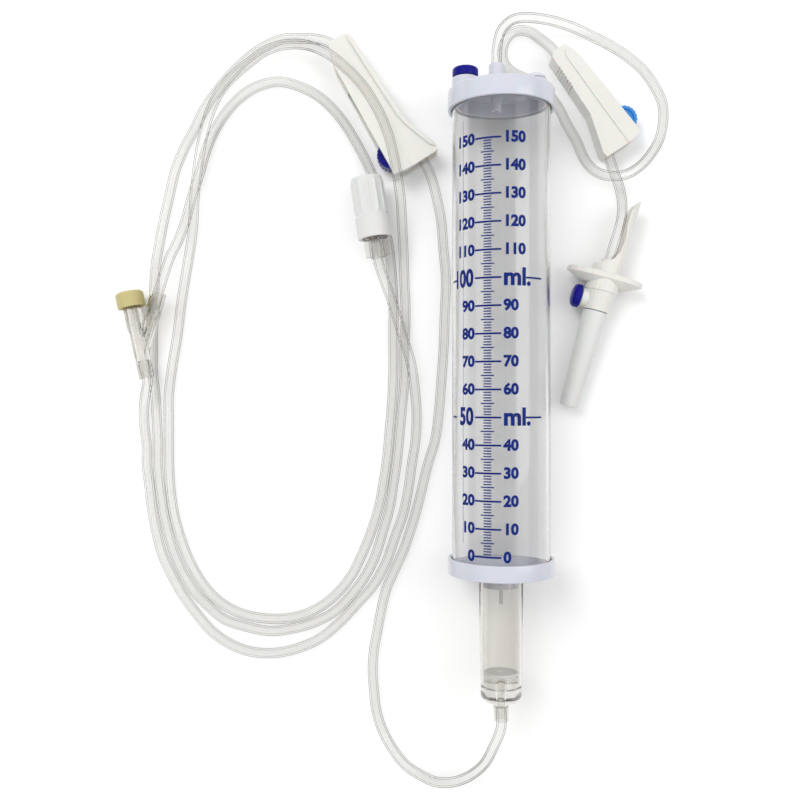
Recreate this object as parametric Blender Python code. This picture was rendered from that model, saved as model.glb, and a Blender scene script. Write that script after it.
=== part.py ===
"""Measured-volume infusion set laid out flat: burette with drip chamber, two roller clamps, sheathed
spike, side-inlet connector and luer end, joined by three soft tubes.

Lengths are in millimetres and are turned into metres where a mesh, a curve or an origin is made.
+Y runs along the burette towards its inlet, +Z is up and the floor is Z = 0.
"""

import math

import bmesh
import bpy
import numpy as np
from mathutils import Matrix, Vector

MM = 0.001
SMOOTH_ANGLE = math.radians(35.0)
LARGE_ROUND = 48
ROUND = 36
MIDDLE_ROUND = 24
SMALL_ROUND = 20
FINE_ROUND = 16
EDGE_STEPS = 3
AXES_SIZE = 5.0
FIT = 0.3
CUT_PAST = 1.0

# Soft tube
TUBE_OD = 4.0
FLOOR_Z = TUBE_OD / 2
TUBE_STRAY = 0.28
SOCKET_DEPTH = 7.0
SOCKET_R = TUBE_OD / 2 + FIT
TUBE_BEVEL_STEPS = 2

# Burette, with heights measured from the spigot end of the drip chamber
SPIGOT_Y = -127.4
BURETTE_OD = 38.0
BURETTE_WALL = 1.45
BURETTE_LENGTH = 182.6
CAP_WALL = 1.35
CAP_PLATE = 2.0
CAP_EDGE = 0.8
CAP_R = BURETTE_OD / 2 + FIT + CAP_WALL
BOTTOM_CAP_U = 57.1
BOTTOM_RIM = 6.4
TOP_RIM = 7.6
SKIRT_WALL = 1.2
TOP_SKIRT = 5.3
BOTTOM_SKIRT = 4.1
SKIRT_R = BURETTE_OD / 2 - BURETTE_WALL - FIT
TUBE_BOTTOM_U = BOTTOM_CAP_U + CAP_PLATE + FIT
TUBE_TOP_U = TUBE_BOTTOM_U + BURETTE_LENGTH
TOP_PLATE_U = TUBE_TOP_U + FIT
TOP_FACE_U = TOP_PLATE_U + CAP_PLATE
BOSS_ROOT = 0.8

# Air vent on the top cap
VENT_INSET = 6.75
VENT_X = VENT_INSET - CAP_R
VENT_BOSS_R = 5.2
VENT_BOSS_HEIGHT = 5.2
VENT_RECESS_DEPTH = 3.5
VENT_RECESS_R = 4.0
VENT_HOLE_R = 1.2
VENT_FILTER_HEIGHT = 1.2
VENT_CAP_R = 5.05
VENT_CAP_HEIGHT = 3.6
VENT_CAP_RIDGE = 0.5
VENT_CAP_RIM = 1.0
VENT_CAP_PULL_ROOM = 0.8

# Inlet collar and hanging nozzle
COLLAR_X = -1.7
COLLAR_WALL = 0.8
COLLAR_HEIGHT = 10.5
COLLAR_FOOT_FLARE = 0.9
COLLAR_FOOT_HEIGHT = 2.4
ORIFICE_R = 1.0
NOZZLE_R = 2.3
NOZZLE_TIP_R = 1.9
NOZZLE_LENGTH = 7.2

# Spare boss and injection port
SPARE_X = 5.2
SPARE_R = 3.0
SPARE_HEIGHT = 6.4
SPARE_DIMPLE_R = 1.7
SPARE_DIMPLE_DEPTH = 1.5
PORT_INSET = 7.35
PORT_X = CAP_R - PORT_INSET
PORT_BOSS_R = 4.4
PORT_BOSS_HEIGHT = 4.6
PORT_RECESS_R = 3.3
PORT_RECESS_DEPTH = 3.4
BUNG_HEAD_R = 4.1
BUNG_HEAD_HEIGHT = 1.7
BUNG_DISH_R = 2.2
BUNG_DISH_DEPTH = 0.4

# Drip chamber and needle
CHAMBER_TOP_R = 8.65
CHAMBER_BOTTOM_R = 7.95
CHAMBER_WALL = 1.0
BASE_FLANGE_U = 7.8
BASE_FLANGE_HEIGHT = 5.9
BASE_EDGE = 1.6
BASE_PLUG_HEIGHT = 4.3
SPIGOT_R = 3.1
SPIGOT_TIP_R = 2.8
SPIGOT_SOCKET = 5.6
OUTLET_R = 1.4
FILTER_HEIGHT = 1.1
FILTER_HOLE_R = 0.9
CAP_PLUG_HEIGHT = 5.0
NEEDLE_R = 0.75
NEEDLE_BORE_R = 0.4
NEEDLE_DROP = 6.9
NEEDLE_HUB_R = 2.6
NEEDLE_HUB_HEIGHT = 1.5

# Roller clamps: the small one is on the inlet tube, the large one on the main tube
SMALL_CLAMP = dict(
    origin=(21.0, 136.2), turn=-56.2, over=False, length=47.2, thick=10.0, wall=2.2, floor=0.9,
    flare_start=29.0, flare_drop=5.0, back=9.4, back_end=12.6, lip=2.3, chamfer=2.2, step=6.4,
    nose=1.55, brow=7.0, brow_start=3.5, brow_drop=1.1, lip_back=3.5, lip_tip=0.9, grip_start=6.6,
    step_sag=0.9, step_low=1.75, step_low_at=4.4, step_nose=0.65, relief=0.5, wheel_r=5.4,
    trunnion_r=0.7, groove=1.1, ribs=20, rest=38.0, reach=24.0, spare=2.0,
)
LARGE_CLAMP = dict(
    origin=(-60.1, 144.6), turn=-57.3, over=True, length=59.4, thick=12.5, wall=2.7, floor=1.05,
    flare_start=42.0, flare_drop=6.0, back=12.2, back_end=15.2, lip=3.2, chamfer=2.8, step=8.2,
    nose=1.95, brow=9.0, brow_start=4.5, brow_drop=1.4, lip_back=4.5, lip_tip=1.1, grip_start=8.4,
    step_sag=1.1, step_low=2.25, step_low_at=5.6, step_nose=0.85, relief=0.6, wheel_r=6.0,
    trunnion_r=0.85, groove=1.4, ribs=24, rest=50.5, reach=31.0, spare=2.2,
)
RIB_DEPTH = 0.35
WHEEL_DISH = 0.6
WHEEL_RIM = 1.3
WHEEL_HUB = 0.9
GRIP_RIDGES = 7
GRIP_PITCH = 1.5
GRIP_WIDTH = 0.7
GRIP_DEPTH = 0.3

# Spike, with lengths measured from the middle of its finger flange
SPIKE_PLACE = (43.2, 46.6, 8.1)
SPIKE_TIP_PLACE = (29.1, -5.35, 5.4)
FLANGE_LENGTH = 31.0
FLANGE_HEIGHT = 15.4
FLANGE_THICK = 2.6
FLANGE_EDGE = 0.5
FLANGE_BELLY = 2.2
FLANGE_BELLY_SHARE = 0.62
FLANGE_WAIST = 1.2
FLANGE_WAIST_SPREAD = 2.6
HUB_R = 6.7
HUB_END_R = 5.2
HUB_LENGTH = 12.7
HUB_STEP = 4.6
HUB_STEP_IN = 0.45
SHAFT_R = 2.7
SHAFT_TIP_R = 2.25
SHAFT_END = 46.0
SHAFT_BEVEL = 8.0
SHAFT_BORE_R = 0.9
SHAFT_BORE_OFF = 1.05
PLUG_LENGTH = 3.0
SHEATH_MOUTH_R = 4.95
SHEATH_TIP_R = 3.65
SHEATH_WALL = 0.9
SHEATH_LENGTH = 39.7
SHEATH_EDGE = 1.0
SHEATH_END_WALL = 1.1
SCOOP_R = 5.9
SCOOP_WALL = 1.2
SCOOP_LENGTH = 32.5
SCOOP_CUT_START = -4.0
SCOOP_CUT = [
    (-4.6, -4.6), (0.6, -7.2), (2.5, -11.0), (3.0, -16.3), (2.2, -22.0), (2.3, -26.5), (3.4, -30.5),
    (6.2, -33.0),
]
SPIKE_SOCKET_R = 3.2
SIDE_VENT_Z = 10.0
SIDE_VENT_R = 3.8
SIDE_VENT_OUT = 7.2
SIDE_VENT_ROOT = 2.0
SIDE_VENT_RECESS_R = 2.9
SIDE_VENT_RECESS = 1.9
SIDE_VENT_FILTER = 0.8
SIDE_CAP_R = 4.7
SIDE_CAP_HEIGHT = 3.6
SIDE_CAP_DOME = 1.5
SIDE_CAP_DOME_TURN = 66.0

# Side-inlet connector
Y_PLACE = (-147.7, 36.6, 8.1)
Y_TURN = 12.0
Y_HEAD_R = 3.5
Y_LEG_R = 3.1
Y_LEG_END_R = 2.95
Y_LENGTH = 31.3
Y_HEAD_TOP = -2.2
Y_NECK = 10.5
Y_NECK_TAPER = 2.0
Y_JOIN = 20.6
Y_ARM_LENGTH = 24.8
Y_ARM_TURN = 28.0
Y_ARM_R = 3.4
Y_ARM_ROOT_R = 2.9
SEPTUM_R = 5.5
SEPTUM_HALF = 4.0
SEPTUM_SKIRT = 2.3
SEPTUM_EDGE = 0.8
SEPTUM_DISH_R = 2.6
SEPTUM_DISH_DEPTH = 0.5

# Luer end, with lengths measured from the closed end of its cover
LUER_PLACE = (-52.9, 85.7, 11.3)
LUER_TURN = 8.7
COVER_R = 6.2
COVER_RING_R = 6.8
COVER_LENGTH = 24.3
COVER_RING = 9.3
COVER_WALL = 1.0
COVER_END_WALL = 1.4
COVER_EDGE = 0.8
COVER_RIBS = 12
COVER_RIB_R = 0.45
COVER_RIB_SIDES = 6
COVER_RIB_START = 1.6
LOCK_WALL = 0.9
LOCK_LENGTH = 11.3
LOCK_PLATE = 2.4
CONE_R = 2.3
CONE_TIP_R = 1.95
CONE_PAST = 3.0
CONE_BORE_R = 1.1
LUER_HUB_R = 2.85
LUER_HUB_LENGTH = 7.6
WING_HALF = 4.8
WING_THICK = 1.3
WING_ROOT = 0.4
WING_SHORT = 0.6

# Straight run of each tube where it leaves a fitting
COLLAR_STRAIGHT = 2.0
SPIKE_STRAIGHT = 6.0
SPIGOT_STRAIGHT = 3.0
Y_ARM_STRAIGHT = 4.0
Y_LEG_STRAIGHT = 1.0
LUER_STRAIGHT = 2.0

# Routes chosen on the photograph, with the height of the tube's middle as third value
INLET_ROUTE_START = [
    (-1.5, 134, 20), (0.5, 142, 18), (5.5, 147.5, 15), (12, 149.5, 12), (21.5, 150, 8),
    (31.5, 148.5, 4.5), (38, 146.5, 2.5), (46.5, 142.5, 2), (53.5, 138, 2), (60, 132.5, 2),
    (65, 125.5, 2), (68, 119, 2), (68.5, 112, 2), (67, 104.5, 2.5), (63, 97.5, 4.5),
    (57, 91, 7.5), (51, 87.5, 9.5), (45, 87, 9.5), (40, 89.5, 6.5), (36, 95.5, 3),
    (33, 103, 2), (29, 110, 2), (26, 116, 2), (22.5, 121, 2), (18, 125, 2), (12.5, 128.5, 2),
    (6.5, 131.5, 2), (3, 136, 2), (3, 142, 2), (5.5, 146.5, 2), (9.5, 148.5, 2),
    (14, 147.5, 2.5), (18, 144, 4),
]
SMALL_CLAMP_ROUTE = [(-2, 3.2), (10, 3.2), (20, 3.2), (28, 3.1), (36, 1.6), (46, -1.6)]
INLET_ROUTE_END = [(48, 89.5, 4), (50, 84.5, 3.5), (51, 78, 4.5), (50.5, 72, 6.5), (49, 66.5, 8.3)]
MAIN_ROUTE_START = [
    (-3, -139, 19), (-5.5, -145.5, 16), (-9, -151, 12), (-13.5, -155.5, 8), (-19, -158.5, 4.5),
    (-25, -159, 2.5), (-31, -156.5, 2), (-37.5, -152, 2), (-42.5, -145.5, 2), (-46.5, -138, 2),
    (-49, -130, 2), (-50, -121.5, 2), (-50.5, -113.5, 2), (-50, -105.5, 2), (-48.5, -97, 2),
    (-47, -89, 2), (-45, -80.5, 2), (-41.5, -72.5, 2), (-37.5, -63.5, 2), (-34, -53, 2),
    (-31.5, -44, 2), (-28, -29.5, 2), (-25, -19.5, 2), (-23.5, -9, 2), (-22.5, 3, 2),
    (-21.5, 17.5, 2), (-21, 32, 2), (-20.5, 46.5, 2), (-21.5, 58.5, 2), (-22.5, 70.5, 2.5),
    (-24.5, 80, 4), (-26.5, 87, 5.5),
]
LARGE_CLAMP_ROUTE = [(58, 1.9), (50, 2.9), (40, 3.4), (26, 3.4), (13, 3.6), (5, 4.8), (-2, 8.2)]
MAIN_ROUTE_END = [
    (-74, 144, 4.5), (-80, 145, 2.5), (-87, 145, 2), (-93.5, 142.5, 2), (-100.5, 138, 2),
    (-107.5, 131.5, 2), (-113.5, 124.5, 2), (-119.5, 116, 2), (-123.5, 108, 2),
    (-128, 99.5, 2), (-131.5, 90.5, 2), (-133.5, 82, 2), (-136, 71, 2), (-138, 60.5, 2),
    (-139.5, 50.5, 2), (-140, 40, 2), (-140.5, 28, 2), (-140.5, 17.5, 2), (-140.5, 7.5, 2),
    (-139.5, -1, 2), (-139, -9, 2), (-138.5, -19.5, 2), (-138.5, -29.5, 2),
    (-137.5, -40, 2), (-136, -50, 2), (-133.5, -60.5, 2), (-130.5, -69, 2), (-127, -76, 2),
    (-123, -82, 2), (-117.5, -87.5, 2), (-111.5, -92.5, 2), (-103, -95.5, 2), (-92.5, -97.5, 2),
    (-83.5, -96.5, 2), (-74.5, -94, 2), (-66, -89.5, 2), (-59, -82.5, 2), (-53.5, -75, 2),
    (-49.5, -67, 2), (-46.5, -57.5, 2), (-43.5, -47, 2), (-42, -37.5, 2), (-40.5, -27.5, 2),
    (-39.5, -17, 2), (-38.5, -6, 2), (-37.5, 5.5, 2), (-37.5, 17.5, 2), (-37, 32, 2),
    (-37.5, 46, 2), (-38, 60.5, 3.5), (-38.5, 69, 7.5), (-39, 76.5, 12.5),
    (-40, 83.5, 15.5), (-41.5, 92, 15.5), (-43.5, 100.5, 15.5), (-46.5, 108.5, 15.5),
    (-50.5, 116, 15.5), (-55.5, 123, 15.5), (-61, 128.5, 15.5), (-66.5, 133, 15.5),
    (-71.5, 136, 14.5), (-77, 139, 11), (-83, 140.5, 8), (-88, 140.5, 6.5), (-94.5, 138, 6.5),
    (-100.5, 133.5, 6.5), (-106, 129, 6.5), (-111.5, 123, 6.5), (-115.5, 115.5, 6.5),
    (-118, 108, 6.5), (-120, 98.5, 6.5), (-121.5, 88, 6.5), (-122.5, 78, 6.5),
    (-123.5, 69.5, 4), (-125, 60.5, 2), (-127, 48.5, 2), (-129, 36, 2), (-130.5, 23.5, 2),
    (-132.5, 11.5, 2), (-134, -1, 2), (-134, -13, 2), (-134, -25.5, 2), (-133.5, -37.5, 2),
    (-132, -49, 2), (-129, -60, 2), (-125.5, -69, 2), (-121, -77, 2), (-114.5, -84.5, 2),
    (-106.5, -89.5, 2), (-97.5, -92, 2), (-87.5, -92.5, 2), (-79, -91, 2), (-71, -87, 2),
    (-64.5, -81.5, 2), (-59, -74.5, 2), (-55, -66.5, 2), (-51.5, -58, 2), (-48, -47, 2),
    (-46, -36.5, 2), (-44.5, -26, 2), (-43.5, -15, 2), (-42.5, -3, 2), (-42, 9.5, 2),
    (-42, 23.5, 2), (-42, 38, 2), (-43, 52.5, 2), (-44.5, 63.5, 2), (-46.5, 74.5, 2),
    (-49, 85, 2), (-53, 94.5, 2), (-57.5, 103, 2), (-64, 113, 2), (-72, 121, 2),
    (-80.5, 125.5, 2), (-88.5, 127.5, 2), (-96.5, 126, 2), (-103.5, 122, 2),
    (-110, 115.5, 2), (-115.5, 107, 2), (-119, 98.5, 2), (-121.5, 89.5, 2),
    (-124.5, 80.5, 2), (-127, 71, 2), (-130, 62.5, 2.5), (-132.8, 55, 5),
]
PATIENT_ROUTE = [
    (-142.5, -0.5, 5.8), (-143.8, -6, 3.3), (-144, -13, 2), (-143, -21.5, 2), (-143, -29.5, 2),
    (-142, -37.5, 2), (-141, -46.5, 2), (-139, -57, 2), (-136.5, -66.5, 2), (-132, -76, 2),
    (-128, -83, 2), (-122.5, -90.5, 2), (-116.5, -97.5, 2), (-108.5, -103, 2),
    (-100, -106, 2), (-90.5, -106.5, 2), (-81, -104.5, 2), (-72, -100.5, 2), (-64, -94, 2),
    (-57, -86.5, 2), (-50, -78.5, 2), (-45, -69.5, 2), (-41.5, -59.5, 2), (-38, -49.5, 2),
    (-36, -40, 2), (-34.5, -29.5, 2), (-33, -19.5, 2), (-32.5, -9, 2), (-33, -1, 2.5),
    (-34, 7.5, 4.5), (-35.5, 14.5, 6.2), (-38, 22, 6.8), (-40.5, 30.5, 6.8), (-43, 38.5, 7.5),
    (-45.5, 45, 9),
]

# Colour (linear), roughness, see-through share and metal share of each material
MATERIALS = {
    "clear_burette": ((0.93, 0.95, 0.97), 0.08, 0.9, 0.0),
    "clear_tube": ((0.90, 0.90, 0.88), 0.15, 0.85, 0.0),
    "cap_plastic": ((0.70, 0.71, 0.78), 0.35, 0.2, 0.0),
    "milky_plastic": ((0.72, 0.71, 0.66), 0.4, 0.2, 0.0),
    "frosted_plastic": ((0.74, 0.75, 0.75), 0.45, 0.4, 0.0),
    "clear_plastic": ((0.90, 0.92, 0.92), 0.12, 0.85, 0.0),
    "navy_plastic": ((0.005, 0.006, 0.16), 0.35, 0.0, 0.0),
    "azure_plastic": ((0.03, 0.24, 0.62), 0.35, 0.0, 0.0),
    "amber_rubber": ((0.58, 0.44, 0.12), 0.5, 0.1, 0.0),
    "white_rubber": ((0.72, 0.72, 0.74), 0.55, 0.0, 0.0),
    "filter_paper": ((0.85, 0.85, 0.85), 0.8, 0.0, 0.0),
    "steel": ((0.6, 0.6, 0.62), 0.25, 0.0, 1.0),
}


def clear_scene():
    for obj in list(bpy.data.objects):
        bpy.data.objects.remove(obj)


def make_material(name):
    color, roughness, clearness, metal = MATERIALS[name]
    material = bpy.data.materials.new(name)
    material.use_nodes = True
    shader = material.node_tree.nodes["Principled BSDF"]
    shader.inputs["Base Color"].default_value = (*color, 1.0)
    shader.inputs["Roughness"].default_value = roughness
    shader.inputs["Transmission Weight"].default_value = clearness
    shader.inputs["Metallic"].default_value = metal
    material.diffuse_color = (*color, 1.0)
    return material


def link(name, data, parent=None):
    obj = bpy.data.objects.new(name, data)
    bpy.context.scene.collection.objects.link(obj)
    obj.parent = parent
    return obj


def frame_empty(name, matrix):
    """An empty that carries the frame of an assembly, given as a matrix in millimetres."""
    empty = link(name, None)
    empty.empty_display_size = AXES_SIZE * MM
    placed = matrix.copy()
    placed.translation = placed.translation * MM
    empty.matrix_world = placed
    return empty


def solid(name, points, faces, parent, shift=(0.0, 0.0, 0.0)):
    """A closed mesh with its faces turned outwards, its points given from its own origin."""
    mesh = bpy.data.meshes.new(name)
    mesh.from_pydata([[c * MM for c in point] for point in points], [], faces)
    shape = bmesh.new()
    shape.from_mesh(mesh)
    bmesh.ops.recalc_face_normals(shape, faces=shape.faces)
    shape.to_mesh(mesh)
    shape.free()
    mesh.shade_smooth()
    mesh.set_sharp_from_angle(angle=SMOOTH_ANGLE)
    obj = link(name, mesh, parent)
    obj.location = Vector(shift) * MM
    return obj


def turned(name, profile, parent, shift=(0.0, 0.0, 0.0), sides=ROUND):
    """A profile of (radius, height) points turned round local Z. A point of radius 0 is a pole."""
    return swept(name, profile, arc((0, 0), 1.0, 0, 360, sides)[:-1], parent, shift)


def swept(name, profile, outline, parent, shift=(0.0, 0.0, 0.0)):
    """A profile of (size, height) points carried round local Z, with the outline drawn at each size."""
    sides = len(outline)
    points = []
    rings = []
    for size, height in profile:
        if size == 0:
            rings.append([len(points)])
            points.append((0.0, 0.0, height))
            continue
        rings.append(list(range(len(points), len(points) + sides)))
        points += [(size * x, size * y, height) for x, y in outline]
    faces = []
    for i, lower in enumerate(rings):
        upper = rings[(i + 1) % len(rings)]
        if len(lower) == 1 and len(upper) == 1:
            continue
        for k in range(sides):
            n = (k + 1) % sides
            below = [lower[k % len(lower)], lower[n % len(lower)]]
            above = [upper[n % len(upper)], upper[k % len(upper)]]
            faces.append(list(dict.fromkeys(below + above)))
    return solid(name, points, faces, parent, shift)


def rod(radius, bottom, top):
    """The profile of a plain cylinder."""
    return [(0, bottom), (radius, bottom), (radius, top), (0, top)]


def prisms(name, pieces, parent, shift=(0.0, 0.0, 0.0)):
    """Flat outlines drawn up along local Z, each given as (outline, bottom, top)."""
    points = []
    faces = []
    for outline, bottom, top in pieces:
        start = len(points)
        count = len(outline)
        points += [(x, y, bottom) for x, y in outline]
        points += [(x, y, top) for x, y in outline]
        faces.append([start + k for k in range(count)])
        faces.append([start + count + k for k in range(count)])
        for k in range(count):
            n = (k + 1) % count
            faces.append([start + k, start + n, start + count + n, start + count + k])
    return solid(name, points, faces, parent, shift)


def combine(obj, other, operation):
    """A live Boolean. The other object stays as a hidden wire helper."""
    modifier = obj.modifiers.new(f"{operation.lower()} {other.name}", "BOOLEAN")
    modifier.operation = operation
    modifier.solver = "EXACT"
    modifier.object = other
    other.hide_render = True
    other.display_type = "WIRE"


def join(obj, *others):
    for other in others:
        combine(obj, other, "UNION")


def cut(obj, *others):
    for other in others:
        combine(obj, other, "DIFFERENCE")


def paint(materials, name, *objects):
    for obj in objects:
        obj.data.materials.append(materials[name])


def arc(center, radius, start, end, steps):
    """Points on an arc, with angles in degrees."""
    angles = np.radians(np.linspace(start, end, steps + 1))
    return [(center[0] + radius * math.cos(a), center[1] + radius * math.sin(a)) for a in angles]


def burette_frame():
    """Local Z runs along the burette from the spigot end, and local Y points down."""
    matrix = Matrix.Rotation(math.radians(-90.0), 4, "X")
    matrix.translation = Vector((0.0, SPIGOT_Y, CAP_R))
    return matrix


def axis_frame(place, direction):
    """Local Z runs along a direction, local X is level and local Y points up."""
    along = Vector(direction).normalized()
    side = Vector((-along.y, along.x, 0.0)).normalized()
    up = along.cross(side)
    matrix = Matrix((side, up, along)).transposed().to_4x4()
    matrix.translation = Vector(place)
    return matrix


def flat_axis_frame(place, turn):
    """An axis frame whose local Z is -Y, turned towards +X by an angle in degrees."""
    angle = math.radians(turn)
    return axis_frame(place, (math.sin(angle), -math.cos(angle), 0.0))


def spike_frame():
    return axis_frame(SPIKE_PLACE, Vector(SPIKE_TIP_PLACE) - Vector(SPIKE_PLACE))


def clamp_frame(size):
    """Local X runs from the narrow end, local Y from the tube side to the wheel side."""
    matrix = Matrix.Rotation(math.radians(size["turn"]), 4, "Z")
    height = 0.0
    if size["over"]:
        matrix = matrix @ Matrix.Rotation(math.pi, 4, "X")
        height = size["thick"]
    matrix.translation = Vector((*size["origin"], height))
    return matrix


def build_burette_tube(parent):
    outer = BURETTE_OD / 2
    inner = outer - BURETTE_WALL
    profile = [(inner, 0), (outer, 0), (outer, BURETTE_LENGTH), (inner, BURETTE_LENGTH)]
    return turned("burette_tube", profile, parent, (0, 0, TUBE_BOTTOM_U), LARGE_ROUND)


def cap_profile(rim, skirt):
    """A cap that opens along local Z: plate at the origin, outer rim and inner skirt."""
    skirt_in = SKIRT_R - SKIRT_WALL
    rim_in = CAP_R - CAP_WALL
    return [
        (0, 0), *arc((CAP_R - CAP_EDGE, CAP_EDGE), CAP_EDGE, -90, 0, EDGE_STEPS),
        (CAP_R, rim), (rim_in, rim), (rim_in, CAP_PLATE), (SKIRT_R, CAP_PLATE),
        (SKIRT_R, CAP_PLATE + skirt), (skirt_in, CAP_PLATE + skirt), (skirt_in, CAP_PLATE), (0, CAP_PLATE),
    ]


def collar_profile():
    outer = SOCKET_R + COLLAR_WALL
    return [
        (0, -BOSS_ROOT), (outer + COLLAR_FOOT_FLARE, -BOSS_ROOT), (outer + COLLAR_FOOT_FLARE, 0),
        (outer, COLLAR_FOOT_HEIGHT), (outer, COLLAR_HEIGHT), (0, COLLAR_HEIGHT),
    ]


def collar_mouth_u():
    return TOP_FACE_U + COLLAR_HEIGHT


def on_top_cap(name, profile, parent, x=0.0, sides=SMALL_ROUND):
    """A turned piece of the top cap, its heights measured from the cap's face."""
    return turned(name, profile, parent, (x, 0, TOP_FACE_U), sides)


def build_top_cap(parent):
    flip = [(r, -z) for r, z in cap_profile(TOP_RIM, TOP_SKIRT)]
    cap = on_top_cap("top_cap", flip, parent, sides=LARGE_ROUND)
    tip = -CAP_PLATE - NOZZLE_LENGTH
    root = BOSS_ROOT - CAP_PLATE
    join(
        cap,
        on_top_cap("vent_boss", rod(VENT_BOSS_R, -BOSS_ROOT, VENT_BOSS_HEIGHT), parent, VENT_X, MIDDLE_ROUND),
        on_top_cap("collar_boss", collar_profile(), parent, COLLAR_X),
        on_top_cap("spare_boss", rod(SPARE_R, -BOSS_ROOT, SPARE_HEIGHT), parent, SPARE_X),
        on_top_cap("port_boss", rod(PORT_BOSS_R, -BOSS_ROOT, PORT_BOSS_HEIGHT), parent, PORT_X, MIDDLE_ROUND),
        on_top_cap("nozzle", [(0, root), (NOZZLE_R, root), (NOZZLE_TIP_R, tip), (0, tip)], parent, COLLAR_X),
    )
    vent_floor = VENT_BOSS_HEIGHT - VENT_RECESS_DEPTH
    socket_floor = COLLAR_HEIGHT - SOCKET_DEPTH
    cut(
        cap,
        on_top_cap(
            "vent_recess",
            [(0, -CAP_PLATE - CUT_PAST), (VENT_HOLE_R, -CAP_PLATE - CUT_PAST), (VENT_HOLE_R, vent_floor),
             (VENT_RECESS_R, vent_floor), (VENT_RECESS_R, VENT_BOSS_HEIGHT + CUT_PAST),
             (0, VENT_BOSS_HEIGHT + CUT_PAST)],
            parent, VENT_X,
        ),
        on_top_cap(
            "inlet_bore",
            [(0, tip - CUT_PAST), (ORIFICE_R, tip - CUT_PAST), (ORIFICE_R, socket_floor),
             (SOCKET_R, socket_floor), (SOCKET_R, COLLAR_HEIGHT + CUT_PAST), (0, COLLAR_HEIGHT + CUT_PAST)],
            parent, COLLAR_X,
        ),
        on_top_cap(
            "spare_dimple", rod(SPARE_DIMPLE_R, SPARE_HEIGHT - SPARE_DIMPLE_DEPTH, SPARE_HEIGHT + CUT_PAST),
            parent, SPARE_X,
        ),
        on_top_cap(
            "port_recess", rod(PORT_RECESS_R, PORT_BOSS_HEIGHT - PORT_RECESS_DEPTH, PORT_BOSS_HEIGHT + CUT_PAST),
            parent, PORT_X,
        ),
    )
    return cap


def vent_filter_u():
    return TOP_FACE_U + VENT_BOSS_HEIGHT - VENT_RECESS_DEPTH + FIT


def build_vent_filter(parent):
    profile = rod(VENT_RECESS_R - FIT, 0, VENT_FILTER_HEIGHT)
    return turned("vent_filter", profile, parent, (VENT_X, 0, vent_filter_u()), SMALL_ROUND)


def build_vent_cap(parent):
    seat = TOP_FACE_U + VENT_BOSS_HEIGHT + FIT
    plug = vent_filter_u() + VENT_FILTER_HEIGHT + VENT_CAP_PULL_ROOM - seat
    profile = [
        (0, plug), (VENT_RECESS_R - FIT, plug), (VENT_RECESS_R - FIT, 0), (VENT_CAP_R, 0),
        (VENT_CAP_R, VENT_CAP_HEIGHT - VENT_CAP_RIDGE), (VENT_CAP_R - VENT_CAP_RIDGE, VENT_CAP_HEIGHT),
        (VENT_CAP_R - VENT_CAP_RIDGE - VENT_CAP_RIM, VENT_CAP_HEIGHT - VENT_CAP_RIDGE),
        (0, VENT_CAP_HEIGHT - VENT_CAP_RIDGE),
    ]
    return turned("vent_cap", profile, parent, (VENT_X, 0, seat), MIDDLE_ROUND)


def build_bung(parent):
    seat = TOP_FACE_U + PORT_BOSS_HEIGHT + FIT
    plug = -(PORT_RECESS_DEPTH - FIT)
    profile = [
        (0, plug), (PORT_RECESS_R - FIT, plug), (PORT_RECESS_R - FIT, 0), (BUNG_HEAD_R, 0),
        (BUNG_HEAD_R, BUNG_HEAD_HEIGHT / 2), (BUNG_HEAD_R - BUNG_HEAD_HEIGHT / 2, BUNG_HEAD_HEIGHT),
        (BUNG_DISH_R, BUNG_HEAD_HEIGHT),
        (BUNG_DISH_R - BUNG_DISH_DEPTH, BUNG_HEAD_HEIGHT - BUNG_DISH_DEPTH),
        (0, BUNG_HEAD_HEIGHT - BUNG_DISH_DEPTH),
    ]
    return turned("injection_port_bung", profile, parent, (PORT_X, 0, seat), MIDDLE_ROUND)


def chamber_top_u():
    return BOTTOM_CAP_U - FIT


def build_bottom_cap(parent):
    profile = cap_profile(BOTTOM_RIM, BOTTOM_SKIRT)
    cap = turned("bottom_cap", profile, parent, (0, 0, BOTTOM_CAP_U), LARGE_ROUND)
    plug_r = CHAMBER_TOP_R - CHAMBER_WALL - FIT
    join(
        cap,
        turned("cap_plug", rod(plug_r, -CAP_PLUG_HEIGHT, BOSS_ROOT), parent, (0, 0, BOTTOM_CAP_U)),
        turned(
            "needle_hub", rod(NEEDLE_HUB_R, BOSS_ROOT, CAP_PLATE + NEEDLE_HUB_HEIGHT),
            parent, (0, 0, BOTTOM_CAP_U), SMALL_ROUND,
        ),
    )
    bore_top = CAP_PLATE + NEEDLE_HUB_HEIGHT + CUT_PAST
    bore = rod(NEEDLE_R + FIT, -CAP_PLUG_HEIGHT - CUT_PAST, bore_top)
    cut(cap, turned("needle_bore", bore, parent, (0, 0, BOTTOM_CAP_U), SMALL_ROUND))
    return cap


def build_needle(parent):
    bottom = BOTTOM_CAP_U - CAP_PLUG_HEIGHT - NEEDLE_DROP
    top = BOTTOM_CAP_U + CAP_PLATE
    profile = [(NEEDLE_BORE_R, 0), (NEEDLE_R, 0), (NEEDLE_R, top - bottom), (NEEDLE_BORE_R, top - bottom)]
    return turned("drip_needle", profile, parent, (0, 0, bottom), SMALL_ROUND)


def build_drip_chamber(parent):
    bottom = BASE_FLANGE_U + BASE_FLANGE_HEIGHT + FIT
    length = chamber_top_u() - bottom
    profile = [
        (CHAMBER_BOTTOM_R - CHAMBER_WALL, 0), (CHAMBER_BOTTOM_R, 0),
        (CHAMBER_TOP_R, length), (CHAMBER_TOP_R - CHAMBER_WALL, length),
    ]
    return turned("drip_chamber", profile, parent, (0, 0, bottom))


def base_plug_r():
    return CHAMBER_BOTTOM_R - CHAMBER_WALL - FIT


def base_plug_top_u():
    return BASE_FLANGE_U + BASE_FLANGE_HEIGHT + BASE_PLUG_HEIGHT


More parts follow.
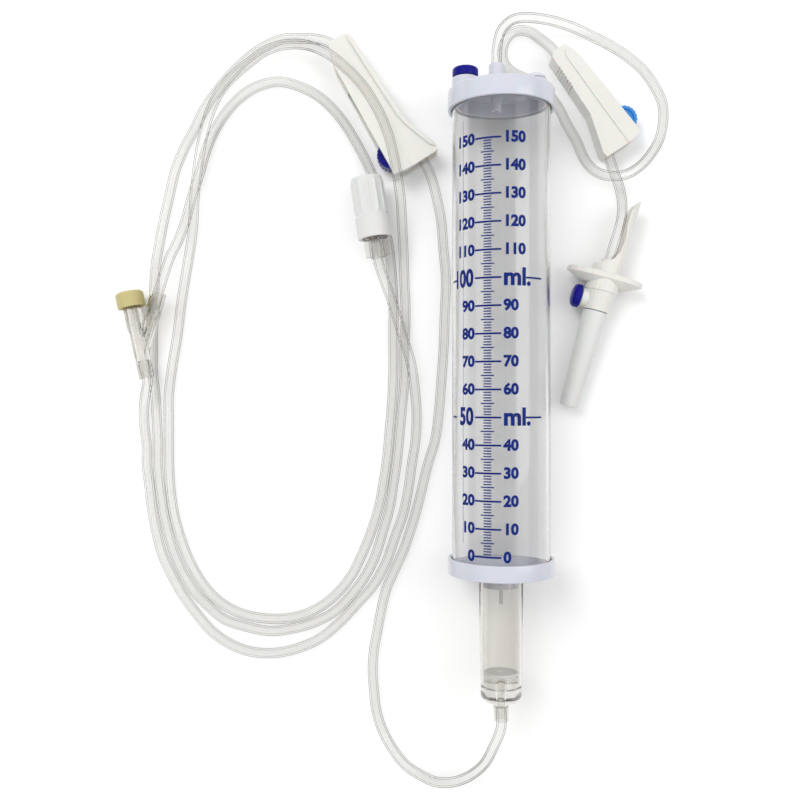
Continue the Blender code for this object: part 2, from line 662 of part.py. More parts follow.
def build_chamber_filter(parent):
    outer = base_plug_r()
    profile = [(FILTER_HOLE_R, 0), (outer, 0), (outer, FILTER_HEIGHT), (FILTER_HOLE_R, FILTER_HEIGHT)]
    return turned("chamber_filter", profile, parent, (0, 0, base_plug_top_u() + FIT), MIDDLE_ROUND)


def build_chamber_base(parent):
    flange_top = BASE_FLANGE_U + BASE_FLANGE_HEIGHT
    corner = CHAMBER_BOTTOM_R - BASE_EDGE
    rounded = arc((corner, BASE_FLANGE_U + BASE_EDGE), BASE_EDGE, -90, 0, EDGE_STEPS)
    profile = [
        (SOCKET_R, 0), (SPIGOT_TIP_R, 0), (SPIGOT_R, BASE_FLANGE_U), *rounded,
        (CHAMBER_BOTTOM_R, flange_top), (base_plug_r(), flange_top), (base_plug_r(), base_plug_top_u()),
        (OUTLET_R, base_plug_top_u()), (OUTLET_R, SPIGOT_SOCKET), (SOCKET_R, SPIGOT_SOCKET),
    ]
    return turned("drip_chamber_base", profile, parent)


def clamp_flare(size, u):
    """How far the tube side has moved out at a place along the clamp."""
    reach = size["length"] - size["flare_start"]
    return -size["flare_drop"] * max(0.0, u - size["flare_start"]) / reach


def clamp_wheel_v(size):
    return size["floor"] + FIT + TUBE_OD + FIT + size["wheel_r"]


def clamp_outline(size):
    """Side view of the body: chamfered narrow end, flared tube side and pointed lip at the wide end."""
    length = size["length"]
    edge = size["chamfer"]
    return [
        (0, edge), (size["nose"], 0), (size["flare_start"], 0),
        (length - edge, clamp_flare(size, length - edge)), (length, clamp_flare(size, length) + edge / 2),
        (length, size["back_end"] - 2 * edge),
        (length - size["lip_tip"], size["back_end"] + size["lip"] - edge),
        (length - size["lip_back"], size["back_end"]), (size["brow"], size["back"]),
        (size["brow_start"], size["back"] - size["brow_drop"]), (0, size["back"] - edge),
    ]


def clamp_channel(size):
    """Side view of the channel, which is open at both ends and towards the wheel side."""
    end = size["length"] + CUT_PAST
    high = size["back_end"] + size["wheel_r"]
    start = size["flare_start"]
    return [
        (-CUT_PAST, size["floor"]), (start, size["floor"]), (end, size["floor"] + clamp_flare(size, end)),
        (end, high), (-CUT_PAST, high),
    ]


def clamp_slot(size):
    """Side view of the groove that guides a trunnion, with round ends."""
    v = clamp_wheel_v(size)
    radius = size["trunnion_r"] + FIT
    first = (size["rest"] - size["reach"], v)
    last = (size["rest"] + size["spare"], v)
    return [*arc(last, radius, -90, 90, 2 * EDGE_STEPS), *arc(first, radius, 90, 270, 2 * EDGE_STEPS)]


def clamp_relief(size):
    """Side view of the thinner wall beside the tube, below the step."""
    end = size["length"] + CUT_PAST
    low = -size["flare_drop"] - CUT_PAST
    edge = size["chamfer"]
    return [
        (-CUT_PAST, low), (end, low), (end, size["step"]),
        (size["flare_start"], size["step"] - size["step_sag"]),
        (size["step_low_at"], size["step"] - size["step_low"]), (edge, size["step"] - size["step_nose"]),
        (edge, size["back"] + CUT_PAST), (-CUT_PAST, size["back"] + CUT_PAST),
    ]


def build_clamp_body(name, size, parent):
    thick = size["thick"]
    wall = size["wall"]
    deep = wall - size["groove"]
    body = prisms(name, [(clamp_outline(size), 0, thick)], parent)
    relief = clamp_relief(size)
    grips = []
    for k in range(GRIP_RIDGES):
        u = size["grip_start"] + k * GRIP_PITCH
        far = u + GRIP_WIDTH
        square = [(u, -CUT_PAST), (far, -CUT_PAST), (far, GRIP_DEPTH), (u, GRIP_DEPTH)]
        grips.append((square, -CUT_PAST, thick + CUT_PAST))
    cut(
        body,
        prisms(f"{name}_channel", [(clamp_channel(size), wall, thick - wall)], parent),
        prisms(f"{name}_slot", [(clamp_slot(size), deep, thick - deep)], parent),
        prisms(
            f"{name}_relief",
            [(relief, -CUT_PAST, size["relief"]), (relief, thick - size["relief"], thick + CUT_PAST)],
            parent,
        ),
        prisms(f"{name}_grips", grips, parent),
    )
    return body


def build_wheel(name, size, parent):
    """A ribbed wheel with dished sides. Its origin is on its trunnions."""
    ribs = []
    for k in range(2 * size["ribs"]):
        angle = math.pi * k / size["ribs"]
        radius = size["wheel_r"] - RIB_DEPTH * (k % 2)
        ribs.append((radius * math.cos(angle), radius * math.sin(angle)))
    half = size["thick"] / 2 - size["wall"] - FIT
    place = (size["rest"], clamp_wheel_v(size), size["thick"] / 2)
    wheel = prisms(name, [(ribs, -half, half)], parent, place)
    hub = size["trunnion_r"] + WHEEL_HUB
    rim = size["wheel_r"] - WHEEL_RIM
    floor = half - WHEEL_DISH
    dish = [(hub, floor), (rim, floor), (rim, half + CUT_PAST), (hub, half + CUT_PAST)]
    cut(
        wheel,
        turned(f"{name}_dish_top", dish, parent, place, SMALL_ROUND),
        turned(f"{name}_dish_bottom", [(r, -z) for r, z in dish], parent, place, SMALL_ROUND),
    )
    reach = size["thick"] / 2 - size["wall"] + size["groove"] - FIT
    trunnions = rod(size["trunnion_r"], -reach, reach)
    join(wheel, turned(f"{name}_trunnions", trunnions, parent, place, FINE_ROUND))
    return wheel


def flange_outline():
    """An oval finger flange with a slight waist at the middle of its long sides."""
    points = []
    for k in range(MIDDLE_ROUND):
        angle = 2 * math.pi * (k + 0.5) / MIDDLE_ROUND
        waist = FLANGE_WAIST * max(0.0, 1 - abs(FLANGE_WAIST_SPREAD * math.cos(angle))) ** 2
        half = FLANGE_HEIGHT / 2 - waist
        points.append((FLANGE_LENGTH / 2 * math.cos(angle), half * math.sin(angle)))
    return points


def flange_profile():
    """A rounded edge, a flat side towards the tube and a belly towards the shaft, as shares of the oval."""
    half = FLANGE_THICK / 2
    bevel = 1 - FLANGE_EDGE / (FLANGE_HEIGHT / 2)
    return [
        (0, -half), (bevel, -half), (1, FLANGE_EDGE - half), (1, half - FLANGE_EDGE), (bevel, half),
        (FLANGE_BELLY_SHARE, half + FLANGE_BELLY), (0, half + FLANGE_BELLY),
    ]


def hub_end_z():
    return FLANGE_THICK / 2 + HUB_LENGTH


def spike_core_profile():
    face = FLANGE_THICK / 2
    step = face + HUB_STEP
    end = hub_end_z()
    plug = SHEATH_MOUTH_R - SHEATH_WALL - FIT
    return [
        (0, 0), (HUB_R, 0), (HUB_R, step), (HUB_R - HUB_STEP_IN, step + HUB_STEP_IN), (HUB_END_R, end),
        (plug, end), (plug, end + PLUG_LENGTH), (SHAFT_R, end + PLUG_LENGTH + (plug - SHAFT_R)),
        (SHAFT_TIP_R, SHAFT_END), (0, SHAFT_END),
    ]


def along_minus_x(profile, name, parent, place, sides=SMALL_ROUND):
    """A turned piece whose axis points along the parent's -X."""
    piece = turned(name, profile, parent, place, sides)
    piece.rotation_euler = (0.0, math.radians(-90.0), 0.0)
    return piece


def build_spike(parent):
    half = FLANGE_THICK / 2
    spike = swept("spike", flange_profile(), flange_outline(), parent)
    scoop_in = SCOOP_R - SCOOP_WALL
    scoop = turned(
        "scoop",
        [(scoop_in, -SCOOP_LENGTH), (SCOOP_R, -SCOOP_LENGTH), (SCOOP_R, 0), (scoop_in, 0)],
        parent, sides=MIDDLE_ROUND,
    )
    reach = SCOOP_R + CUT_PAST
    below = -SCOOP_LENGTH - CUT_PAST
    side = [(-reach, SCOOP_CUT_START), *SCOOP_CUT, (reach, below), (-reach, below)]
    slant = prisms("scoop_cut", [(side, -reach, reach)], parent)
    slant.rotation_euler = (math.radians(90.0), 0.0, 0.0)
    cut(scoop, slant)
    socket_depth = SOCKET_DEPTH - half
    join(
        spike,
        turned("spike_core", spike_core_profile(), parent, sides=MIDDLE_ROUND),
        scoop,
        turned("spike_socket", rod(SPIKE_SOCKET_R, -half - socket_depth, 0), parent, sides=SMALL_ROUND),
        along_minus_x(
            rod(SIDE_VENT_R, SIDE_VENT_ROOT, SIDE_VENT_OUT), "side_vent", parent, (0, 0, SIDE_VENT_Z),
        ),
    )
    out = SHAFT_R + CUT_PAST
    bevel = [(-out, SHAFT_END + CUT_PAST), (out, SHAFT_END + CUT_PAST), (out, SHAFT_END - SHAFT_BEVEL)]
    tip = prisms("tip_bevel", [(bevel, -reach, reach)], parent)
    tip.rotation_euler = (math.radians(90.0), 0.0, 0.0)
    cut(
        spike,
        tip,
        turned(
            "spike_socket_bore", rod(SOCKET_R, -half - socket_depth - CUT_PAST, 0), parent,
            sides=SMALL_ROUND,
        ),
        turned(
            "fluid_bore", rod(SHAFT_BORE_R, -CUT_PAST, SHAFT_END + CUT_PAST), parent, (SHAFT_BORE_OFF, 0, 0),
            FINE_ROUND,
        ),
        along_minus_x(
            rod(SIDE_VENT_RECESS_R, SIDE_VENT_OUT - SIDE_VENT_RECESS, SIDE_VENT_OUT + CUT_PAST),
            "side_vent_recess", parent, (0, 0, SIDE_VENT_Z),
        ),
    )
    return spike


def build_sheath(parent):
    """A closed tapered sleeve over the shaft. Its origin is on its axis at the mouth."""
    mouth = hub_end_z() + FIT
    inner = SHEATH_MOUTH_R - SHEATH_WALL
    tip_in = SHEATH_TIP_R - SHEATH_WALL
    end = SHEATH_LENGTH
    corner = (SHEATH_TIP_R - SHEATH_EDGE, end - SHEATH_EDGE)
    profile = [
        (inner, 0), (SHEATH_MOUTH_R, 0), *arc(corner, SHEATH_EDGE, 0, 90, EDGE_STEPS), (0, end),
        (0, end - SHEATH_END_WALL), (tip_in, end - SHEATH_END_WALL),
    ]
    return turned("spike_sheath", profile, parent, (0, 0, mouth), MIDDLE_ROUND)


def build_side_filter(parent):
    out = SIDE_VENT_OUT - SIDE_VENT_RECESS + FIT
    profile = rod(SIDE_VENT_RECESS_R - FIT, 0, SIDE_VENT_FILTER)
    return along_minus_x(profile, "spike_vent_filter", parent, (-out, 0, SIDE_VENT_Z))


def build_side_cap(parent):
    plug = SIDE_VENT_RECESS - SIDE_VENT_FILTER - FIT
    flat = SIDE_CAP_HEIGHT - SIDE_CAP_DOME
    dome = [
        (SIDE_CAP_R * x, flat + SIDE_CAP_DOME * y)
        for x, y in arc((0, 0), 1.0, 0, SIDE_CAP_DOME_TURN, EDGE_STEPS)
    ]
    profile = [
        (0, -plug), (SIDE_VENT_RECESS_R - FIT, -plug), (SIDE_VENT_RECESS_R - FIT, 0), (SIDE_CAP_R, 0),
        *dome, (0, SIDE_CAP_HEIGHT),
    ]
    place = (-SIDE_VENT_OUT - FIT, 0, SIDE_VENT_Z)
    return along_minus_x(profile, "spike_vent_cap", parent, place, MIDDLE_ROUND)


def arm_matrix(start):
    """From the joint of the connector out along its side arm, moved along it by start."""
    matrix = Matrix.Rotation(math.radians(180.0 - Y_ARM_TURN), 4, "Y")
    return Matrix.Translation((0, 0, Y_JOIN)) @ matrix @ Matrix.Translation((0, 0, start))


def on_arm(obj):
    placed = arm_matrix(0.0)
    placed.translation = placed.translation * MM
    obj.matrix_local = placed
    return obj


def build_y_site(parent):
    body = turned(
        "y_site_body",
        [(0, Y_HEAD_TOP), (Y_HEAD_R, Y_HEAD_TOP), (Y_HEAD_R, Y_NECK), (Y_LEG_R, Y_NECK + Y_NECK_TAPER),
         (Y_LEG_END_R, Y_LENGTH), (0, Y_LENGTH)],
        parent, sides=SMALL_ROUND,
    )
    arm = [(0, 0), (Y_ARM_ROOT_R, 0), (Y_ARM_R, Y_ARM_LENGTH), (0, Y_ARM_LENGTH)]
    join(body, on_arm(turned("y_arm", arm, parent, sides=SMALL_ROUND)))
    socket = Y_LENGTH - SOCKET_DEPTH
    arm_socket = Y_ARM_LENGTH - SOCKET_DEPTH
    bore = turned(
        "y_bore",
        [(0, Y_HEAD_TOP - CUT_PAST), (OUTLET_R, Y_HEAD_TOP - CUT_PAST), (OUTLET_R, socket),
         (SOCKET_R, socket), (SOCKET_R, Y_LENGTH + CUT_PAST), (0, Y_LENGTH + CUT_PAST)],
        parent, sides=FINE_ROUND,
    )
    arm_bore = on_arm(turned(
        "y_arm_bore",
        [(0, 0), (OUTLET_R, 0), (OUTLET_R, arm_socket), (SOCKET_R, arm_socket),
         (SOCKET_R, Y_ARM_LENGTH + CUT_PAST), (0, Y_ARM_LENGTH + CUT_PAST)],
        parent, sides=FINE_ROUND,
    ))
    cut(body, bore, arm_bore)
    return body


def build_septum(parent):
    inner = Y_HEAD_R + FIT
    closed = Y_HEAD_TOP - FIT
    dish = SEPTUM_DISH_DEPTH - SEPTUM_HALF
    profile = [
        (0, dish), (SEPTUM_DISH_R - SEPTUM_DISH_DEPTH, dish), (SEPTUM_DISH_R, -SEPTUM_HALF),
        (SEPTUM_R - SEPTUM_EDGE, -SEPTUM_HALF), (SEPTUM_R, SEPTUM_EDGE - SEPTUM_HALF),
        (SEPTUM_R, SEPTUM_SKIRT), (inner, SEPTUM_SKIRT), (inner, closed), (0, closed),
    ]
    return turned("y_site_septum", profile, parent, sides=MIDDLE_ROUND)


def lock_end_z():
    return COVER_LENGTH + FIT


def build_luer(parent):
    """Male cone inside a lock collar, with a winged hub that takes the tube."""
    lock_r = COVER_R - COVER_WALL - FIT
    end = lock_end_z()
    plate = end - LOCK_PLATE
    start = end - LOCK_LENGTH
    tip = start - CONE_PAST
    hub_end = end + LUER_HUB_LENGTH
    luer = turned(
        "luer_connector",
        [(CONE_BORE_R, tip), (CONE_TIP_R, tip), (CONE_R, plate), (lock_r - LOCK_WALL, plate),
         (lock_r - LOCK_WALL, start), (lock_r, start), (lock_r, end), (LUER_HUB_R, end),
         (LUER_HUB_R, hub_end), (SOCKET_R, hub_end), (SOCKET_R, hub_end - SOCKET_DEPTH),
         (CONE_BORE_R, hub_end - SOCKET_DEPTH)],
        parent, sides=MIDDLE_ROUND,
    )
    half = WING_THICK / 2
    near = LUER_HUB_R - WING_ROOT
    wing_end = hub_end - WING_SHORT
    wings = []
    for side in (-1, 1):
        root = side * near
        out = side * WING_HALF
        outline = [(root, -half), (out, -half), (out, half), (root, half)]
        wings.append((outline, end - BOSS_ROOT, wing_end))
    join(luer, prisms("wings", wings, parent))
    return luer


def build_luer_cover(parent):
    """A ribbed cover that is closed at the far end and pulls off over the lock collar."""
    inner = COVER_R - COVER_WALL
    ring = COVER_LENGTH - COVER_RING
    cover = turned(
        "luer_cover",
        [(0, 0), (COVER_R - COVER_EDGE, 0), (COVER_R, COVER_EDGE), (COVER_R, ring),
         (COVER_RING_R, ring + COVER_EDGE), (COVER_RING_R, COVER_LENGTH), (inner, COVER_LENGTH),
         (inner, COVER_END_WALL), (0, COVER_END_WALL)],
        parent,
    )
    ribs = []
    for k in range(COVER_RIBS):
        angle = 2 * math.pi * (k + 0.5) / COVER_RIBS
        center = (COVER_R * math.cos(angle), COVER_R * math.sin(angle))
        rib = arc(center, COVER_RIB_R, 0, 360, COVER_RIB_SIDES)[:-1]
        ribs.append((rib, COVER_RIB_START, ring + COVER_EDGE / 2))
    join(cover, prisms("cover_ribs", ribs, parent))
    return cover


def smooth_route(points):
    """A dense centripetal spline through the route's points, with its ends carried straight on."""
    knots = [Vector(p) for p in points]
    knots = [2 * knots[0] - knots[1], *knots, 2 * knots[-1] - knots[-2]]
    found = []
    for a, b, c, d in zip(knots, knots[1:], knots[2:], knots[3:]):
        t1 = math.sqrt((b - a).length)
        t2 = t1 + math.sqrt((c - b).length)
        t3 = t2 + math.sqrt((d - c).length)
        steps = max(2, round((c - b).length))
        for k in range(steps):
            t = t1 + (t2 - t1) * k / steps
            ab = a.lerp(b, t / t1)
            bc = b.lerp(c, (t - t1) / (t2 - t1))
            cd = c.lerp(d, (t - t2) / (t3 - t2))
            before = ab.lerp(bc, t / t2)
            after = bc.lerp(cd, (t - t1) / (t3 - t1))
            found.append(before.lerp(after, (t - t1) / (t2 - t1)))
    return [*found, knots[-2]]


def stray(points):
    """The most that the points between the ends leave the straight line between them."""
    line = points[-1] - points[0]
    away = []
    for point in points[1:-1]:
        offset = point - points[0]
        away.append((offset - line * (offset.dot(line) / line.length_squared)).length)
    return max(away, default=0.0)


def thinned(points):
    """The points that keep a chord within TUBE_STRAY of the smooth curve."""
    kept = [points[0]]
    start = 0
    for i in range(2, len(points)):
        if stray(points[start:i + 1]) > TUBE_STRAY:
            start = i - 1
            kept.append(points[start])
    return [*kept, points[-1]]


def build_tube(name, route):
    curve = bpy.data.curves.new(name, "CURVE")
    curve.dimensions = "3D"
    curve.bevel_depth = TUBE_OD / 2 * MM
    curve.bevel_resolution = TUBE_BEVEL_STEPS
    curve.use_fill_caps = True
    places = thinned(smooth_route(route))
    spline = curve.splines.new("POLY")
    spline.points.add(len(places) - 1)
    for point, place in zip(spline.points, places):
        place.z = max(place.z, FLOOR_Z)
        point.co = (*(place * MM), 1.0)
    return link(name, curve)


def along(matrix, *places):
    """Route points given as (x, y, z) in an assembly's frame."""
    return [tuple(matrix @ Vector(place)) for place in places]


def clamp_route(size, route):
    height = size["thick"] / 2
    return along(clamp_frame(size), *[(u, v, height) for u, v in route])


def build_tubes(spike, y_site, luer):
    burette = burette_frame()
    mouth = collar_mouth_u()
    bottom = mouth - SOCKET_DEPTH + FIT
    inlet = along(burette, (COLLAR_X, 0, bottom), (COLLAR_X, 0, mouth + COLLAR_STRAIGHT))
    inlet += INLET_ROUTE_START + clamp_route(SMALL_CLAMP, SMALL_CLAMP_ROUTE) + INLET_ROUTE_END
    inlet += along(spike, (0, 0, -SOCKET_DEPTH - SPIKE_STRAIGHT), (0, 0, -SOCKET_DEPTH), (0, 0, -FIT))
    outlet = along(burette, (0, 0, SPIGOT_SOCKET - FIT), (0, 0, -SPIGOT_STRAIGHT))
    main = outlet + MAIN_ROUTE_START + clamp_route(LARGE_CLAMP, LARGE_CLAMP_ROUTE) + MAIN_ROUTE_END
    arm_end = y_site @ arm_matrix(Y_ARM_LENGTH)
    main += along(arm_end, (0, 0, Y_ARM_STRAIGHT), (0, 0, 0), (0, 0, FIT - SOCKET_DEPTH))
    patient = along(y_site, (0, 0, Y_LENGTH - SOCKET_DEPTH + FIT), (0, 0, Y_LENGTH + Y_LEG_STRAIGHT))
    hub_end = lock_end_z() + LUER_HUB_LENGTH
    patient += PATIENT_ROUTE
    patient += along(luer, (0, 0, hub_end + LUER_STRAIGHT), (0, 0, hub_end - SOCKET_DEPTH + FIT))
    return [build_tube(name, route) for name, route in
            (("inlet_tube", inlet), ("main_tube", main), ("patient_tube", patient))]


def main():
    clear_scene()
    materials = {name: make_material(name) for name in MATERIALS}
    burette = frame_empty("burette_axis", burette_frame())
    small = frame_empty("inlet_clamp_frame", clamp_frame(SMALL_CLAMP))
    large = frame_empty("main_clamp_frame", clamp_frame(LARGE_CLAMP))
    spike = frame_empty("spike_axis", spike_frame())
    y_site = frame_empty("y_site_axis", flat_axis_frame(Y_PLACE, Y_TURN))
    luer = frame_empty("luer_axis", flat_axis_frame(LUER_PLACE, LUER_TURN))
    paint(materials, "clear_burette", build_burette_tube(burette))
    paint(materials, "cap_plastic", build_top_cap(burette), build_bottom_cap(burette))
    paint(materials, "filter_paper", build_vent_filter(burette), build_side_filter(spike))
    paint(materials, "filter_paper", build_chamber_filter(burette))
    paint(materials, "navy_plastic", build_vent_cap(burette), build_side_cap(spike))
    paint(materials, "white_rubber", build_bung(burette))
    paint(materials, "steel", build_needle(burette))
    paint(materials, "clear_plastic", build_drip_chamber(burette), build_chamber_base(burette))
    paint(materials, "milky_plastic", build_clamp_body("inlet_clamp_body", SMALL_CLAMP, small))
    paint(materials, "azure_plastic", build_wheel("inlet_clamp_wheel", SMALL_CLAMP, small))
    paint(materials, "milky_plastic", build_clamp_body("main_clamp_body", LARGE_CLAMP, large))
    paint(materials, "navy_plastic", build_wheel("main_clamp_wheel", LARGE_CLAMP, large))
    paint(materials, "milky_plastic", build_spike(spike))
    paint(materials, "frosted_plastic", build_sheath(spike), build_luer_cover(luer))
    paint(materials, "clear_plastic", build_y_site(y_site), build_luer(luer))
    paint(materials, "amber_rubber", build_septum(y_site))
    frames = (spike_frame(), flat_axis_frame(Y_PLACE, Y_TURN), flat_axis_frame(LUER_PLACE, LUER_TURN))
    paint(materials, "clear_tube", *build_tubes(*frames))


main()
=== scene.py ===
"""Looks of the measured-volume infusion set: camera, soft tubes, clear and milky plastics, printed
scale and the detailed pieces that stand for its solids. Lengths are in millimetres until a mesh is
made, and MM turns them into metres."""

import math

import bmesh
import bpy
import numpy as np
from bpy.props import FloatProperty, FloatVectorProperty, IntProperty, PointerProperty
from mathutils import Matrix, Vector


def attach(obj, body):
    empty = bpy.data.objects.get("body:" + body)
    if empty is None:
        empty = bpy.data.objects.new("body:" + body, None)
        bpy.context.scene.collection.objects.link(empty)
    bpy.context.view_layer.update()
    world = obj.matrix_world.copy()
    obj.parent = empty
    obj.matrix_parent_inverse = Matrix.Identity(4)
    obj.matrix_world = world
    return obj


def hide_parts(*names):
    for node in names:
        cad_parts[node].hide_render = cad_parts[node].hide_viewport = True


bl_info = {
    "name": "Infusion set",
    "version": (1, 0, 0),
    "blender": (4, 5, 0),
    "location": "View3D > Sidebar > Infusion set",
    "description": "Builds the looks of a burette infusion set over its packed model",
    "category": "Object",
}

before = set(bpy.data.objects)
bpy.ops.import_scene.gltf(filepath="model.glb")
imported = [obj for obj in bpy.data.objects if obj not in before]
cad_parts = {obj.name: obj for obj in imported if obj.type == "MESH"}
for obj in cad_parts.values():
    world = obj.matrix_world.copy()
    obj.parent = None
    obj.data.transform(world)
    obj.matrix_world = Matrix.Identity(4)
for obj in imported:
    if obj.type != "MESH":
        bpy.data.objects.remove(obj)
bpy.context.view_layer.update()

MM = 0.001
ROOT = "set"
WHITE = (1.0, 1.0, 1.0, 1.0)

# Photograph: a square picture taken from straight above
PHOTO_FOCAL_PX = 900.0
PHOTO_PX = 800.0
SENSOR_MM = 36.0
CAMERA_PLACE = (-39.3, -2.9, 370.65)
CLIP_START = 0.01
CLIP_END = 20.0

# Stage, in metres
LIGHT_TARGET = (-0.02, 0.0, 0.0)
KEY_PLACE = (-0.5, 0.45, 0.9)
KEY_SIZE = 0.5
FILL_PLACE = (0.7, 0.1, 0.7)
FILL_SIZE = 0.6
FLOOR_REACH = 4.0
SKY_CURVE = 0.8

# Meshes: points closer than MERGE metres are one, and only sharper edges than these stay sharp
MERGE = 1e-7
PIECE_SHARP = math.radians(42.0)
NODE_SHARP = math.radians(35.0)
BEVEL_ANGLE = math.radians(40.0)
BEVEL_SEGMENTS = 2

# Facets round a turned piece, and how its corners are rounded
FINE_ROUND = 160
LARGE_ROUND = 128
ROUND = 96
MIDDLE_ROUND = 64
SMALL_ROUND = 48
NEEDLE_ROUND = 32
CORNER = 0.3
CORNER_STEPS = 4
CORNER_SHARE = 0.45
ON_AXIS = 1e-6

# Sizes of the solids, as in the model's source. Heights along the burette start at the spigot's end
FIT = 0.3
SOCKET_R = 2.3
SOCKET_DEPTH = 7.0
SPIGOT_Y = -127.4
BURETTE_R = 19.0
BURETTE_WALL = 1.45
TUBE_BOTTOM_U = 59.4
TUBE_TOP_U = 242.0
CAP_R = 20.65
CAP_RIM_IN = 19.3
CAP_PLATE = 2.0
CAP_CORNER = 0.6
SKIRT_R = 17.25
SKIRT_IN = 16.05
BOTTOM_CAP_U = 57.1
BOTTOM_RIM = 6.4
BOTTOM_SKIRT = 4.1
TOP_FACE_U = 244.3
TOP_PLATE_U = 242.3
TOP_RIM = 7.6
TOP_SKIRT = 5.3
BOSS_ROOT = 0.8

# Fittings of the top cap
VENT_X = -13.9
VENT_BOSS_R = 5.2
VENT_BOSS_HEIGHT = 5.2
VENT_RECESS_R = 4.0
VENT_RECESS_DEPTH = 3.5
VENT_FILTER_HEIGHT = 1.2
COLLAR_X = -1.7
COLLAR_R = 3.1
COLLAR_HEIGHT = 10.5
COLLAR_FOOT_R = 4.0
COLLAR_FOOT_HEIGHT = 2.4
ORIFICE_R = 1.0
NOZZLE_R = 2.3
NOZZLE_TIP_R = 1.9
NOZZLE_LENGTH = 7.2
SPARE_X = 5.2
SPARE_R = 3.0
SPARE_HEIGHT = 6.4
SPARE_DIMPLE_R = 1.7
SPARE_DIMPLE_DEPTH = 1.5
PORT_X = 13.3
PORT_BOSS_R = 4.4
PORT_BOSS_HEIGHT = 4.6
PORT_RECESS_R = 3.3
PORT_RECESS_DEPTH = 3.4

# Drip chamber and needle
CHAMBER_BOTTOM_U = 14.0
CHAMBER_TOP_U = 56.8
CHAMBER_BOTTOM_R = 7.95
CHAMBER_TOP_R = 8.65
CHAMBER_WALL = 1.0
CAP_PLUG_HEIGHT = 5.0
FILTER_U = 18.3
FILTER_HEIGHT = 1.1
FILTER_HOLE_R = 0.9
NEEDLE_R = 0.75
NEEDLE_BORE_R = 0.4
NEEDLE_DROP = 6.9
NEEDLE_HUB_R = 2.6
NEEDLE_HUB_HEIGHT = 1.5

# Clamps, spike, side-inlet connector and luer end
SMALL_CLAMP_PLACE = (21.0, 136.2)
SMALL_CLAMP_TURN = -56.2
SMALL_CLAMP_THICK = 10.0
LARGE_CLAMP_PLACE = (-60.1, 144.6)
LARGE_CLAMP_TURN = -57.3
LARGE_CLAMP_THICK = 12.5
SPIKE_PLACE = (43.2, 46.6, 8.1)
SPIKE_TIP_PLACE = (29.1, -5.35, 5.4)
FLANGE_THICK = 2.6
HUB_LENGTH = 12.7
SIDE_VENT_OUT = 7.2
SIDE_VENT_Z = 10.0
Y_PLACE = (-147.7, 36.6, 8.1)
Y_TURN = 12.0
Y_LENGTH = 31.3
Y_JOIN = 20.6
Y_ARM_LENGTH = 24.8
Y_ARM_TURN = 28.0
LUER_PLACE = (-52.9, 85.7, 11.3)
LUER_TURN = 8.7
LUER_HUB_END = 32.2

# Bead along the tube side of the large clamp's back, in the clamp's frame
BEAD_START = 1.6
BEAD_END = 57.4
BEAD_EDGE = 1.15
BEAD_WIDTH = 1.9
BEAD_HEIGHT = 0.4
BEAD_ROWS = 60
BEAD_SIDES = 20
BEAD_THINNEST = 0.02
FLARE_START = 42.0
FLARE_SLOPE = 6.0 / 17.4
FLARE_SOFTNESS = 3.0

# Ribs of the luer cover
COVER_CORNER = 0.4
COVER_CORNER_STEPS = 6
COVER_OUTSIDE_R = 5.9
COVER_LONG_SIDE = 4.0
COVER_ROWS = 26
RIBS = 12
RIB_FACETS = 16
RIB_HEIGHT = 0.42
RIB_SHARPNESS = 6
RIB_START = 1.4
RIB_END = 14.6
RIB_FADE = 0.7

# Printed scale. Arcs are lengths round the burette from its top line
ZERO_U = 66.35
ML_PITCH = 1.034
ML_FULL = 150
ML_LABELLED = (50, 100)
MAJOR_ARC = (-12.2, -2.0)
FIVE_ARC = (-9.8, -4.7)
ONE_ARC = (-8.7, -5.7)
LEFT_NUMBERS = -12.4
LEFT_STRETCH = 1.08
RIGHT_NUMBERS = -1.2
NUMBER_WEIGHT = 0.048
LABEL_LEFT = -12.9
LABEL_LEFT_STRETCH = 0.8
LABEL_LEFT_WEIGHT = 0.04
LABEL_RIGHT = -1.3
LABEL_RIGHT_WEIGHT = 0.036
LABEL_LINE = (7.4, 15.0)
LABEL_LINE_LEFT = (-26.0, -22.5)
SEAM_ARC = (-18.15, -17.95)
SEAM_U = (70.7, 229.5)
PRINT_LIFT = 0.06
LINE_STEPS = 10
LETTER_STEPS = 3

# Soft tubes: depth in the spigot, straight lengths outside each socket, distance between rings, height
# when lying on the floor, and a direction that no tube starts in
SPIGOT_DEPTH = 5.3
COLLAR_STRAIGHT = 2.0
SPIKE_STRAIGHT = 6.0
SPIGOT_STRAIGHT = 3.0
Y_ARM_STRAIGHT = 4.0
Y_LEG_STRAIGHT = 1.0
LUER_STRAIGHT = 2.0
TUBE_STEP = 1.6
TUBE_FLOOR_Z = 2.0
ACROSS_SEED = (0.3, 0.2, 0.9)

# Routes chosen on the photograph, as in the model's source
INLET_ROUTE_START = [
    (-1.5, 134, 20), (0.5, 142, 18), (5.5, 147.5, 15), (12, 149.5, 12), (21.5, 150, 8),
    (31.5, 148.5, 4.5), (38, 146.5, 2.5), (46.5, 142.5, 2), (53.5, 138, 2), (60, 132.5, 2),
    (65, 125.5, 2), (68, 119, 2), (68.5, 112, 2), (67, 104.5, 2.5), (63, 97.5, 4.5),
    (57, 91, 7.5), (51, 87.5, 9.5), (45, 87, 9.5), (40, 89.5, 6.5), (36, 95.5, 3),
    (33, 103, 2), (29, 110, 2), (26, 116, 2), (22.5, 121, 2), (18, 125, 2), (12.5, 128.5, 2),
    (6.5, 131.5, 2), (3, 136, 2), (3, 142, 2), (5.5, 146.5, 2), (9.5, 148.5, 2),
    (14, 147.5, 2.5), (18, 144, 4),
]
SMALL_CLAMP_ROUTE = [(-2, 3.2), (10, 3.2), (20, 3.2), (28, 3.1), (36, 1.6), (46, -1.6)]
